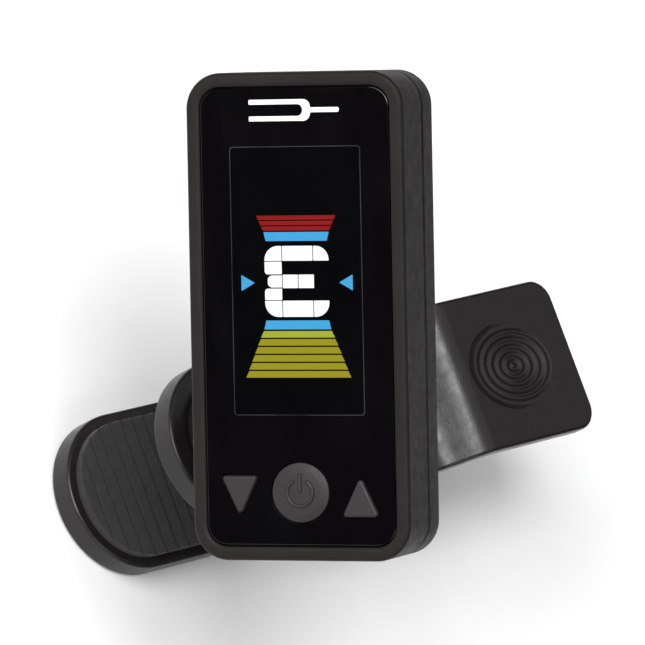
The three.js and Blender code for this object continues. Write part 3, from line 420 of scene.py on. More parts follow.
def soften(bm, width=CUT_ROUND, angle=40):
    """Rounds the edges that a cut or a join left sharp."""
    bmesh.ops.remove_doubles(bm, verts=bm.verts, dist=1e-4)
    bmesh.ops.dissolve_limit(bm, angle_limit=math.radians(0.5), verts=bm.verts, edges=bm.edges)
    limit = math.radians(angle)
    edges = [e for e in bm.edges if len(e.link_faces) == 2 and e.calc_face_angle() > limit]
    bmesh.ops.bevel(
        bm,
        geom=edges,
        offset=width,
        offset_type="OFFSET",
        segments=2,
        profile=0.5,
        affect="EDGES",
        clamp_overlap=True,
    )
    return bm


def finished(name, bm, place, body, look, replaces=(), sharp=32):
    """Turns a solid into a piece of the object: placed, shaded, and riding on its CAD body."""
    bmesh.ops.recalc_face_normals(bm, faces=bm.faces)
    mesh = mesh_from(name, bm)
    mesh.transform(place)
    mesh.shade_smooth()
    mesh.set_sharp_from_angle(angle=math.radians(sharp))
    piece = add_object(name, mesh)
    piece.data.materials.append(look)
    weighted = piece.modifiers.new("normals", "WEIGHTED_NORMAL")
    weighted.keep_sharp = True
    if body:
        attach(piece, body)
    if replaces:
        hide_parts(*replaces)
    return piece


# ---- materials ----


def linear(red, green, blue):
    """Scene-linear colour from 0 to 255 display values."""
    parts = [v / 255 for v in (red, green, blue)]
    return [v / 12.92 if v <= 0.04045 else ((v + 0.055) / 1.055) ** 2.4 for v in parts] + [1.0]


def shader(name, **values):
    """A new Principled material with the given sockets set, as (material, its nodes, the shader node)."""
    material = bpy.data.materials.new(name)
    material.use_nodes = True
    surface = material.node_tree.nodes["Principled BSDF"]
    for socket, value in values.items():
        surface.inputs[socket.replace("_", " ")].default_value = value
    return material, material.node_tree, surface


def coordinates(tree, stretch=(1, 1, 1)):
    """Object coordinates in metres, stretched for grain that runs one way."""
    source = tree.nodes.new("ShaderNodeTexCoord")
    mapping = tree.nodes.new("ShaderNodeMapping")
    mapping.inputs["Scale"].default_value = stretch
    tree.links.new(source.outputs["Object"], mapping.inputs["Vector"])
    return mapping.outputs["Vector"]


def noise(tree, size, detail, vector=None):
    """Noise whose features are about size metres across."""
    node = tree.nodes.new("ShaderNodeTexNoise")
    node.inputs["Scale"].default_value = 1 / size
    node.inputs["Detail"].default_value = detail
    tree.links.new(vector or coordinates(tree), node.inputs["Vector"])
    return node.outputs["Fac"]


def spread(tree, factor, low, high):
    """Maps the middle of a factor's range onto a range of numbers."""
    node = tree.nodes.new("ShaderNodeMapRange")
    tree.links.new(factor, node.inputs["Value"])
    node.inputs["From Min"].default_value = 0.3
    node.inputs["From Max"].default_value = 0.7
    node.inputs["To Min"].default_value = low
    node.inputs["To Max"].default_value = high
    return node.outputs["Result"]


def shades(tree, factor, low, high, start=0.3, end=0.7):
    """Maps a factor onto a range of colours."""
    node = tree.nodes.new("ShaderNodeValToRGB")
    node.color_ramp.elements[0].position = start
    node.color_ramp.elements[0].color = low
    node.color_ramp.elements[1].position = end
    node.color_ramp.elements[1].color = high
    tree.links.new(factor, node.inputs["Fac"])
    return node.outputs["Color"]


def bump(tree, surface, height, depth, after=None):
    """Relief of the given depth in metres; after is an earlier bump that this one adds to."""
    node = tree.nodes.new("ShaderNodeBump")
    node.inputs["Strength"].default_value = 1.0
    node.inputs["Distance"].default_value = depth
    tree.links.new(height, node.inputs["Height"])
    if after:
        tree.links.new(after.outputs["Normal"], node.inputs["Normal"])
    tree.links.new(node.outputs["Normal"], surface.inputs["Normal"])
    return node


def tinted(colour, factor):
    return [min(1.0, v * factor) for v in colour[:3]] + [1.0]


def moulded(name, colour, roughness, grain=0.00022, depth=0.000012, mottle=0.12, specular=0.5):
    """Injection-moulded plastic: fine eroded texture, faint mottling and uneven gloss."""
    material, tree, surface = shader(name, Specular_IOR_Level=specular)
    patches = noise(tree, 0.006, 4)
    tone = shades(tree, patches, tinted(colour, 1 - mottle), tinted(colour, 1 + mottle))
    tree.links.new(tone, surface.inputs["Base Color"])
    gloss = spread(tree, noise(tree, 0.0012, 5), roughness - 0.05, roughness + 0.07)
    tree.links.new(gloss, surface.inputs["Roughness"])
    fine = bump(tree, surface, noise(tree, grain, 2), depth)
    bump(tree, surface, noise(tree, grain * 5, 2), depth * 0.8, after=fine)
    return material


def rubber(name, colour, roughness=0.8):
    """Soft moulding with a dry surface and dust in its grain."""
    material, tree, surface = shader(name, Sheen_Weight=0.15, Sheen_Roughness=0.6, Specular_IOR_Level=0.35)
    dust = noise(tree, 0.0009, 6)
    tone = shades(tree, dust, tinted(colour, 0.85), tinted(colour, 1.35), 0.35, 0.8)
    tree.links.new(tone, surface.inputs["Base Color"])
    gloss = spread(tree, noise(tree, 0.003, 3), roughness - 0.08, roughness + 0.06)
    tree.links.new(gloss, surface.inputs["Roughness"])
    bump(tree, surface, noise(tree, 0.00035, 3), 0.00003)
    return material


def metal(name, colour, roughness, stretch=(1, 1, 1)):
    """Turned or drawn metal: fine scratches along one direction over uneven polish."""
    material, tree, surface = shader(name, Metallic=1.0)
    lines = noise(tree, 0.00012, 4, coordinates(tree, stretch))
    tone = shades(tree, noise(tree, 0.002, 4), tinted(colour, 0.82), tinted(colour, 1.08))
    tree.links.new(tone, surface.inputs["Base Color"])
    gloss = spread(tree, lines, roughness * 0.7, roughness * 1.5)
    tree.links.new(gloss, surface.inputs["Roughness"])
    bump(tree, surface, lines, 0.000003)
    return material


def glossy_black(name, colour, roughness=0.06):
    """Polished window: deep black with a trace of smears in its gloss."""
    material, tree, surface = shader(name, Specular_IOR_Level=0.5, IOR=1.49)
    tone = shades(tree, noise(tree, 0.02, 2), tinted(colour, 0.7), tinted(colour, 1.3))
    tree.links.new(tone, surface.inputs["Base Color"])
    streaks = noise(tree, 0.004, 6, coordinates(tree, (1, 0.4, 1)))
    smears = spread(tree, streaks, roughness, roughness * 2.2)
    tree.links.new(smears, surface.inputs["Roughness"])
    bump(tree, surface, noise(tree, 0.012, 1), 0.000004)
    return material


def lit(name, colour, strength=1.0):
    """A lit display segment: even light with the fine ripple of its backlight film, under gloss."""
    material, tree, surface = shader(name, Roughness=0.12, Emission_Strength=strength)
    surface.inputs["Base Color"].default_value = (0, 0, 0, 1)
    ripple = noise(tree, 0.0003, 2)
    tone = shades(tree, ripple, tinted(colour, 0.93), colour)
    tree.links.new(tone, surface.inputs["Emission Color"])
    return material


def printed(name, colour):
    """Opaque screen-printed ink."""
    material, tree, surface = shader(name, Roughness=0.35)
    tone = shades(tree, noise(tree, 0.0004, 3), tinted(colour, 0.93), colour)
    tree.links.new(tone, surface.inputs["Base Color"])
    bump(tree, surface, noise(tree, 0.0002, 2), 0.000003)
    return material


def circuit_board(name):
    """Green solder mask over copper tracks, with tinned pads."""
    material, tree, surface = shader(name, Roughness=0.35, Coat_Weight=0.3, Coat_Roughness=0.2)
    tracks = tree.nodes.new("ShaderNodeTexBrick")
    tracks.inputs["Scale"].default_value = 900
    tracks.inputs["Mortar Size"].default_value = 0.03
    tracks.inputs["Color1"].default_value = linear(22, 88, 48)
    tracks.inputs["Color2"].default_value = linear(18, 76, 42)
    tracks.inputs["Mortar"].default_value = linear(60, 132, 70)
    tree.links.new(coordinates(tree), tracks.inputs["Vector"])
    tree.links.new(tracks.outputs["Color"], surface.inputs["Base Color"])
    bump(tree, surface, tracks.outputs["Fac"], 0.00002)
    return material


def ribbon_film(name):
    """Amber polyimide film with fine copper tracks along it."""
    material, tree, surface = shader(name, Roughness=0.3, Coat_Weight=0.4)
    wave = tree.nodes.new("ShaderNodeTexWave")
    wave.inputs["Scale"].default_value = 500
    tree.links.new(coordinates(tree), wave.inputs["Vector"])
    tone = shades(tree, wave.outputs["Fac"], linear(150, 84, 20), linear(206, 132, 58), 0.4, 0.6)
    tree.links.new(tone, surface.inputs["Base Color"])
    bump(tree, surface, wave.outputs["Fac"], 0.00001)
    return material


def fired_ceramic(name):
    """White piezo ceramic with a silvered, speckled face."""
    material, tree, surface = shader(name, Roughness=0.45)
    speckle = noise(tree, 0.00025, 5)
    tone = shades(tree, speckle, linear(196, 190, 176), linear(232, 228, 218))
    tree.links.new(tone, surface.inputs["Base Color"])
    tree.links.new(spread(tree, speckle, 0.35, 0.6), surface.inputs["Roughness"])
    bump(tree, surface, speckle, 0.00001)
    return material


CASE = moulded("case_plastic", linear(28, 25, 24), 0.5, specular=0.13)
CLIP_PLASTIC = moulded("clip_plastic", linear(25, 22, 22), 0.32, grain=0.00028, specular=0.38)
KEY = moulded("key_plastic", linear(27, 25, 24), 0.5, grain=0.00018, depth=0.00001, specular=0.4)
LENS = glossy_black("window_black", linear(3, 2, 4))
SCREEN = glossy_black("screen_black", linear(2, 2, 3), 0.05)
PAD = rubber("pad_rubber", linear(34, 32, 32), 0.82)
STEEL = metal("steel", linear(190, 192, 196), 0.28)
SPRING_STEEL = metal("spring_steel", linear(176, 178, 182), 0.24, (1, 0.2, 1))
DARK_STEEL = metal("dark_steel", linear(84, 86, 90), 0.34)
BRASS = metal("brass", linear(198, 158, 82), 0.32)
GLASS = glossy_black("panel_glass", linear(16, 16, 20), 0.08)
DIFFUSER = moulded("diffuser_film", linear(226, 230, 233), 0.5, mottle=0.02)
HOLDER = moulded("holder_plastic", linear(206, 206, 202), 0.55, mottle=0.03)
CHIP = moulded("chip_resin", linear(26, 26, 29), 0.55, grain=0.00012)
LEAD = moulded("lead_insulation", linear(156, 34, 28), 0.42, mottle=0.06)
BOARD = circuit_board("board_green")
RIBBON = ribbon_film("ribbon_film")
CERAMIC = fired_ceramic("piezo_ceramic")
WHITE_LIT = lit("lit_white", linear(255, 255, 255), 1.2)
BLUE_LIT = lit("lit_blue", linear(74, 174, 230))
RED_LIT = lit("lit_red", linear(150, 32, 31))
YELLOW_LIT = lit("lit_yellow", linear(160, 153, 33))
LIME_LIT = lit("lit_lime", linear(172, 182, 62))
PANEL_EDGE = glossy_black("panel_edge", linear(15, 15, 16), 0.2)
WHITE_INK = printed("white_ink", linear(236, 236, 236))


# ---- head ----

bezel_low, bezel_high = extent("front_bezel", HEAD)
lens_low, lens_high = extent("face_lens", HEAD)
shell_low, shell_high = extent("rear_shell", HEAD)
door_low, door_high = extent("battery_door", HEAD)
power_low, power_high = extent("key_power", HEAD)
cell_low, cell_high = extent("coin_cell", HEAD)
screw_centres = {}
for number in range(1, 5):
    low, high = extent(f"shell_screw_{number}", HEAD)
    screw_centres[number] = ((low.x + high.x) / 2, (low.y + high.y) / 2)

HEAD_WIDTH = bezel_high.x - bezel_low.x
HEAD_HEIGHT = bezel_high.y - bezel_low.y
REAR = shell_low.z
SPLIT = bezel_low.z
LENS_TOP = lens_high.z
POCKET_INSET = (HEAD_WIDTH - (lens_high.x - lens_low.x)) / 2 - SEAT_GAP
KEY_TOP = power_high.z
KEY_FOOT = power_low.z
POWER_RADIUS = (power_high.x - power_low.x) / 2 - FLANGE_WIDTH
SWIVEL_Y = (HEAD.inverted() @ Vector(joints["arm_tilt"]["pos_m"])).y
CELL_RADIUS = (cell_high.x - cell_low.x) / 2
CELL_Y = (cell_high.y + cell_low.y) / 2


def head_outline(inset=0.0):
    return rounded_rect(HEAD_WIDTH - 2 * inset, HEAD_HEIGHT - 2 * inset, HEAD_CORNER - inset, steps=16)


def front_bezel():
    """Front moulding: a rounded rim, a fine bright bead round the window, and hollow walls."""
    lens_floor = lens_low.z - SEAT_GAP
    ledge_bottom = lens_floor - LEDGE_THICK
    ledge_end = POCKET_INSET + LEDGE_WIDTH + SEAT_GAP
    bead = [(0.42, 0.0), (0.3, 0.02), (0.18, 0.07), (0.06, 0.13), (0.0, 0.22)]
    section = [(JOINT_CHAMFER, SPLIT), (0.0, SPLIT + JOINT_CHAMFER)]
    section += rounded_section(SPLIT + JOINT_CHAMFER, 0, 0, EDGE_ROUND, 5)[1:]
    section += [(POCKET_INSET - distance, -fall) for distance, fall in bead]
    section += [(POCKET_INSET, lens_floor), (ledge_end, lens_floor), (ledge_end, ledge_bottom)]
    section += [(WALL, ledge_bottom), (WALL, SPLIT)]
    shell = sweep(head_outline(), section, closed=True)
    finished("bezel_moulding", shell, HEAD, "head", CASE, ["front_bezel"], sharp=30)


def arrow(x, y, direction):
    """Isosceles triangle with rounded corners; direction is +1 pointing up, -1 pointing down."""
    w, h = ARROW_WIDTH / 2, ARROW_HEIGHT / 2 * direction
    corners = [(x, y + h, ARROW_CORNER), (x - w, y - h, ARROW_CORNER), (x + w, y - h, ARROW_CORNER)]
    return outline(corners if direction > 0 else corners[::-1])


def window():
    """Glossy black window with its three key holes."""
    size = lens_high - lens_low
    plan = rounded_rect(size.x, size.y, LENS_CORNER - SEAT_GAP)
    section = [(-SLIDE_GAP, lens_low.z - CUT_PAST), (-SLIDE_GAP, CUT_PAST)]
    holes = [
        sweep(circle(POWER_RADIUS, 0, POWER_Y), section),
        sweep(arrow(-ARROW_X, KEY_ROW_Y, -1), section),
        sweep(arrow(ARROW_X, KEY_ROW_Y, 1), section),
    ]
    glass = soften(cut(slab(plan, lens_low.z, LENS_TOP, 0, CUT_ROUND), *holes), FINE_ROUND)
    finished("window_plate", glass, HEAD, "head", LENS, ["face_lens"], sharp=25)


def power_key():
    """Domed round key with a raised power mark."""
    rim = POWER_RADIUS + FLANGE_WIDTH
    flange_top = KEY_FOOT + FLANGE_THICK
    shoulder = -0.08
    dome = KEY_TOP - 0.12
    profile = [(0, KEY_FOOT, 0), (rim, KEY_FOOT, 0.1), (rim, flange_top, 0.1)]
    profile += [(POWER_RADIUS, flange_top, 0), (POWER_RADIUS, shoulder, 0.16)]
    profile += [(POWER_RADIUS * 0.75, dome - 0.1, 0.3), (POWER_RADIUS * 0.4, dome - 0.01, 0.2), (0, dome, 0)]
    key = lathe(rounded_profile(profile), 0, POWER_Y)

    mark_radius = 1.5
    mark_line = 0.22
    mark_level = dome - 0.02
    ring = [(x, y, mark_level) for x, y, _, _ in arc(0, POWER_Y, mark_radius, 125, 415, 40)]
    bar_start = POWER_Y + 0.2
    bar = [(0, bar_start + mark_line * i, mark_level) for i in range(9)]
    key = join(key, tube(ring, mark_line, 10), tube(bar, mark_line, 10))
    finished("power_key_cap", key, HEAD, "power_key", KEY, ["key_power"], sharp=38)


def arrow_key(name, node, body, x, direction):
    """Triangular key with a bevelled, slightly crowned top and a flange behind the window."""
    flange_top = KEY_FOOT + FLANGE_THICK
    side_top = -0.1
    crown = 0.3
    section = [(-FLANGE_WIDTH, KEY_FOOT), (-FLANGE_WIDTH, flange_top), (0, flange_top)]
    section += rounded_section(side_top, KEY_TOP, 0, crown, 5)
    key = sweep(arrow(x, KEY_ROW_Y, direction), section)
    finished(name, key, HEAD, body, KEY, [node], sharp=30)


def rear_shell():
    """Rear moulding: battery bay, door rails, screw posts and the swivel's collar."""
    floor = REAR + FLOOR_THICK
    joint = shell_high.z
    outside = REAR - CUT_PAST
    cell_fit = CELL_RADIUS + 0.3
    outer = slab(head_outline(), REAR, joint, EDGE_ROUND, JOINT_CHAMFER)
    hollow = slab(head_outline(WALL), floor, joint + CUT_PAST)
    bay_low, bay_high = door_low.y - FLOOR_THICK, HEAD_HEIGHT / 2 - WALL / 2
    bay = clip_to(
        slab(head_outline(WALL / 2), floor - 0.05, BAY_FLOOR_TOP),
        box(-HEAD_WIDTH, HEAD_WIDTH, bay_low, bay_high, REAR, 0),
    )
    ring = cut(
        rod(cell_fit + 0.55, floor - 0.1, BAY_FLOOR_TOP + 2, 0, CELL_Y),
        rod(cell_fit, outside, 0, 0, CELL_Y),
    )
    sunk = floor - 0.5
    collar = rod(HUB_RADIUS + COLLAR_WIDTH, sunk, HUB_TOP - SEAT_GAP, 0, SWIVEL_Y)
    posts = merged([rod(BOSS_RADIUS, sunk, joint, x, y, sides=32) for x, y in screw_centres.values()])
    posts = clip_to(posts, slab(head_outline(WALL / 2), REAR, joint))
    shell = join(cut(outer, hollow), bay, ring, collar, posts)

    beyond = HEAD_HEIGHT
    foot = door_low.y - SLIDE_GAP
    half = DOOR_HALF + SLIDE_GAP
    rail_half = half + RAIL_WIDTH + SLIDE_GAP
    slot_low, slot_high, slot_half, slot_foot = 9.6, 11.5, 3.3, -9.2
    screw_holes = []
    for x, y in screw_centres.values():
        seat = BAY_FLOOR_TOP - SEAT_GAP if y > 0 else REAR + SCREW_SEAT
        screw_holes.append(rod(SCREW_SHANK + SLIDE_GAP, outside, 0, x, y, sides=32))
        screw_holes.append(rod(SCREW_HEAD + SLIDE_GAP, outside, seat, x, y, sides=40))
    tools = [
        box(-half, half, foot, beyond, outside, floor - SEAT_GAP),
        box(-rail_half, rail_half, foot, beyond, RAIL_LOW - SLIDE_GAP, RAIL_HIGH + SLIDE_GAP),
        rod(cell_fit, outside, 0, 0, CELL_Y, sides=96),
        box(slot_low, slot_high, CELL_Y - slot_half, CELL_Y + slot_half, slot_foot, joint + 2),
        rod(HUB_RADIUS + SEAT_GAP, outside, 0, 0, SWIVEL_Y),
        *screw_holes,
    ]
    shell = soften(cut(shell, *tools), 0.1)
    finished("rear_moulding", shell, HEAD, "head", CASE, ["rear_shell"])


def battery_door():
    """Sliding door with four finger grooves and a tongue down each side."""
    end = door_high.y
    tongue_half = DOOR_HALF + RAIL_WIDTH
    panel = box(-DOOR_HALF, DOOR_HALF, door_low.y, end, REAR, door_high.z)
    tongues = box(-tongue_half, tongue_half, door_low.y + SEAT_GAP, end, RAIL_LOW, RAIL_HIGH)
    follow = slab(head_outline(), REAR, REAR + 4, EDGE_ROUND, 0)
    first = door_low.y + 3 + GRIP_WIDTH / 2
    grips = []
    for i in range(GRIP_COUNT):
        groove = rounded_rect(GRIP_LENGTH, GRIP_WIDTH, GRIP_CORNER, 0, first + i * GRIP_PITCH, 8)
        grips.append(slab(groove, REAR - CUT_PAST, REAR + GRIP_DEPTH))
    door = soften(cut(clip_to(join(panel, tongues), follow), merged(grips)))
    finished("sliding_door", door, HEAD, "door", CASE, ["battery_door"])


def cross_tool(x, y, reach, half, low, high):
    """Cutting tool for a cross of two bars with the given reach and half width."""
    return join(
        box(x - reach, x + reach, y - half, y + half, low, high),
        box(x - half, x + half, y - reach, y + reach, low, high),
    )


def shell_screw(number):
    """Pan-head screw with a cross recess, seated from behind."""
    node = f"shell_screw_{number}"
    low, high = extent(node, HEAD)
    x, y = screw_centres[number]
    head_top = low.z + SCREW_HEAD_THICK
    profile = [(0, low.z, 0), (SCREW_HEAD * 0.7, low.z, 0.3), (SCREW_HEAD, low.z + 0.35, 0.15)]
    profile += [(SCREW_HEAD, head_top, 0.05), (SCREW_SHANK, head_top, 0)]
    thread_pitch, thread_depth = 0.45, 0.12
    height = head_top + 0.3
    while height < high.z - 0.6:
        profile += [(SCREW_SHANK - thread_depth, height, 0), (SCREW_SHANK, height + thread_pitch / 2, 0)]
        height += thread_pitch
    profile += [(0.25, high.z - 0.05, 0), (0, high.z, 0)]
    screw = lathe(rounded_profile(profile, 3), x, y, 40)
    screw = cut(screw, cross_tool(x, y, 0.8, 0.17, low.z - CUT_PAST, low.z + 0.4))
    finished(f"case_screw_{number}", screw, HEAD, "head", DARK_STEEL, [node])


def coin_cell():
    """Button cell: crimped can, insulating groove and a stamped plus sign on the can."""
    bottom, top = cell_low.z, cell_high.z
    crimp_low, crimp_high, groove = top - 0.45, top - 0.25, top - 0.3
    profile = [(0, bottom, 0), (CELL_RADIUS, bottom, 0.3), (CELL_RADIUS, crimp_low, 0.25)]
    profile += [(CELL_RADIUS - 0.55, crimp_high, 0.05), (CELL_CAP_RADIUS + 0.1, groove, 0)]
    profile += [(CELL_CAP_RADIUS, top, 0.1), (0, top, 0)]
    cell = lathe(rounded_profile(profile), 0, CELL_Y, 128)
    cell = cut(cell, cross_tool(0, CELL_Y, 1.6, 0.25, bottom - CUT_PAST, bottom + 0.08))
    finished("button_cell", cell, HEAD, "head", STEEL, ["coin_cell"])


def ink(name, corners, look):
    """Thin inlay of a rounded outline, just proud of the window."""
    inlay = slab(outline(corners, 6), LENS_TOP - INK_SUNK, LENS_TOP + INK_PROUD)
    finished(name, inlay, HEAD, "head", look)


def bar_corners(x0, x1, y0, y1, radii=(0.05, 0.05, 0.05, 0.05), lean=0.0):
    """Corners of a bar, lower left first; lean widens its upper edge at both ends."""
    return [
        (x0, y0, radii[0]),
        (x1, y0, radii[1]),
        (x1 + lean, y1, radii[2]),
        (x0 - lean, y1, radii[3]),
    ]


def stack_of_bars(name, count, y_near, y_far, near_width, far_width, looks, gap):
    """Bars side by side whose ends follow one slanted line, growing away from the note."""
    sense = 1 if y_far > y_near else -1
    pitch = (y_far - y_near) / count
    corner = 0.04
    for i in range(count):
        start = y_near + i * pitch + sense * gap / 2
        end = y_near + (i + 1) * pitch - sense * gap / 2
        start_half = (near_width + (far_width - near_width) * i / count) / 2
        end_half = (near_width + (far_width - near_width) * (i + 1) / count) / 2
        corners = [(-start_half, start, corner), (start_half, start, corner)]
        corners += [(end_half, end, corner), (-end_half, end, corner)]
        ink(f"{name}_{i + 1}", corners[::sense], looks[min(i, len(looks) - 1)])


def display_panel():
    """The panel's edge showing through the window, and the black screen inside it."""
    width, height, centre, line = 15.4, 30.0, 4.0, 0.1
    depth = LENS_TOP - INK_SUNK
    border = slab(rounded_rect(width, height, 0.4, 0, centre), depth, LENS_TOP + INK_PROUD / 4)
    finished("panel_border", border, HEAD, "head", PANEL_EDGE)
    inside = rounded_rect(width - 2 * line, height - 2 * line, 0.4 - line, 0, centre)
    screen = slab(inside, depth, LENS_TOP + INK_PROUD / 2)
    finished("screen_mask", screen, HEAD, "head", SCREEN)


def note_letter():
    """A letter E in the segments of a note display, each as (x0, x1, y0, y1, corner radii)."""
    left, right = -3.78, 3.77
    stem, step = -1.77, 1.88  # right edges of the first two columns
    middle_step, middle_right = 0.1, 2.0
    bottom, middle, top = (0.0, 1.8), (3.2, 4.7), (6.25, 7.9)
    gap = 0.1
    outer, waist, nib, inner = 1.55, 0.35, 0.5, 0.06  # corner radii
    square = (inner, inner, inner, inner)
    segments = [
        (left, stem, *bottom, (outer, inner, inner, inner)),
        (stem + gap, step, *bottom, square),
        (step + gap, right, *bottom, (inner, outer, inner, inner)),
        (left, stem, *top, (inner, inner, inner, outer)),
        (stem + gap, step, *top, square),
        (step + gap, right, *top, (inner, inner, outer, inner)),
        (left + 0.35, stem, middle[0] + 0.08, middle[1] - 0.08, (nib, inner, inner, nib)),
        (stem + gap, middle_step, *middle, square),
        (middle_step + gap, middle_right, *middle, square),
        (left, stem, middle[1] + gap / 2, top[0] - gap, (waist, inner, inner, inner)),
        (left, stem, bottom[1] + gap, middle[0] - gap / 2, (inner, inner, inner, waist)),
    ]
    for i, (x0, x1, y0, y1, radii) in enumerate(segments):
        ink(f"note_segment_{i + 1}", bar_corners(x0, x1, y0, y1, radii), WHITE_LIT)


def pitch_marks():
    """In-tune bars above and below the note, centre arrows at its sides, and the stacks of pitch bars."""
    ink("in_tune_bar_upper", bar_corners(-3.6, 3.6, 8.45, 9.45, lean=0.25), BLUE_LIT)
    ink("in_tune_bar_lower", bar_corners(-3.95, 3.95, -1.4, -0.4, lean=-0.25), BLUE_LIT)
    level, half, length, base_x, corner = 3.8, 0.9, 1.6, 6.56, 0.05
    for name, side in (("centre_arrow_left", -1), ("centre_arrow_right", 1)):
        base = base_x * side
        tip = base - length * side
        corners = [(base, level - half, corner), (base, level + half, corner), (tip, level, corner)]
        ink(name, corners if side < 0 else corners[::-1], BLUE_LIT)
    stack_of_bars("sharp_bar", 3, 9.55, 11.35, 7.75, 9.4, [RED_LIT], 0.12)
    stack_of_bars("flat_bar", 6, -1.5, -6.85, 8.0, 12.4, [LIME_LIT, YELLOW_LIT], 0.16)


def fork_mark():
    """Generic tuning-fork mark printed above the display."""
    y = 23.0
    tip, yoke, end = -5.3, 1.9, 5.3
    crotch = yoke - 0.9
    prong, slot, stem = 1.2, 0.66, 0.27
    corners = [
        (tip, y - prong, 0.1),
        (yoke, y - prong, 0.8),
        (yoke, y - stem, 0.05),
        (end, y - stem, 0.2),
        (end, y + stem, 0.2),
        (yoke, y + stem, 0.05),
        (yoke, y + prong, 0.8),
        (tip, y + prong, 0.1),
        (tip, y + slot, 0.1),
        (crotch, y + slot, 0.6),
        (crotch, y - slot, 0.6),
        (tip, y - slot, 0.1),
    ]
    ink("fork_mark", corners, WHITE_INK)


# ---- knuckle and arm ----

knuckle_low, knuckle_high = extent("head_knuckle", KNUCKLE)
arm_low, arm_high = extent("swivel_arm", ARM)
TILT_HEIGHT = joints["arm_tilt"]["pos_m"][2] / MM
DISC_RADIUS = (knuckle_high.x - knuckle_low.x) / 2
KNUCKLE_REACH = 10.0
KNUCKLE_DISC_THICK = 2.4
KNUCKLE_CHAMFER = 0.8
LUG_HALF = 2.5
LUG_RADIUS = 3.6
CLEVIS_HALF = 5.0
CLEVIS_RADIUS = 3.8
POST_WAIST_HALF = 3.2
PIVOT_SHANK = 1.25
PIVOT_BORE = PIVOT_SHANK + SEAT_GAP
PIVOT_HEAD = 2.1
PIVOT_NUT = 2.5
PIVOT_SEAT = 1.1
ARM_HUB = 2.4
SCREW_HOLE = 0.8


def head_knuckle():
    """Turntable behind the head with the tilting lug."""
    top = KNUCKLE_REACH - SLIDE_GAP
    bottom = top - KNUCKLE_DISC_THICK
    hub_top = knuckle_high.z
    profile = [(0, bottom, 0), (DISC_RADIUS - KNUCKLE_CHAMFER, bottom, 0.3)]
    profile += [(DISC_RADIUS, bottom + KNUCKLE_CHAMFER, 0.4), (DISC_RADIUS, top, 0.12)]
    profile += [(HUB_RADIUS, top, 0), (HUB_RADIUS, hub_top, 0.1), (0, hub_top, 0)]
    disc = lathe(rounded_profile(profile))

    root = bottom + 1.5
    screw_tip = 6.5
    corners = [
        (-LUG_RADIUS, root, 2 * PART_ROUND),
        (-LUG_RADIUS, -LUG_RADIUS, LUG_RADIUS - ARC_GAP),
        (LUG_RADIUS, -LUG_RADIUS, LUG_RADIUS - ARC_GAP),
        (LUG_RADIUS, root, 2 * PART_ROUND),
    ]
    lug = slab(outline(corners, 16), -LUG_HALF, LUG_HALF, PART_ROUND, PART_ROUND, ACROSS)
    bore = slab(circle(PIVOT_BORE, 0, 0, 48), -LUG_HALF - CUT_PAST, LUG_HALF + CUT_PAST, turn=ACROSS)
    screw_hole = rod(SCREW_HOLE, screw_tip, hub_top + CUT_PAST, sides=32)
    body = soften(cut(join(disc, lug), bore, screw_hole), 0.1, 50)
    finished("knuckle_moulding", body, KNUCKLE, "knuckle", CASE, ["head_knuckle"])


def hexagon(radius, corner):
    """Outline of a hexagon about the tilt axis, standing on a corner."""
    corners = []
    for i in range(6):
        angle = math.radians(60 * i + 90)
        corners.append((radius * math.cos(angle), TILT_HEIGHT + radius * math.sin(angle), corner))
    return outline(corners, 4)


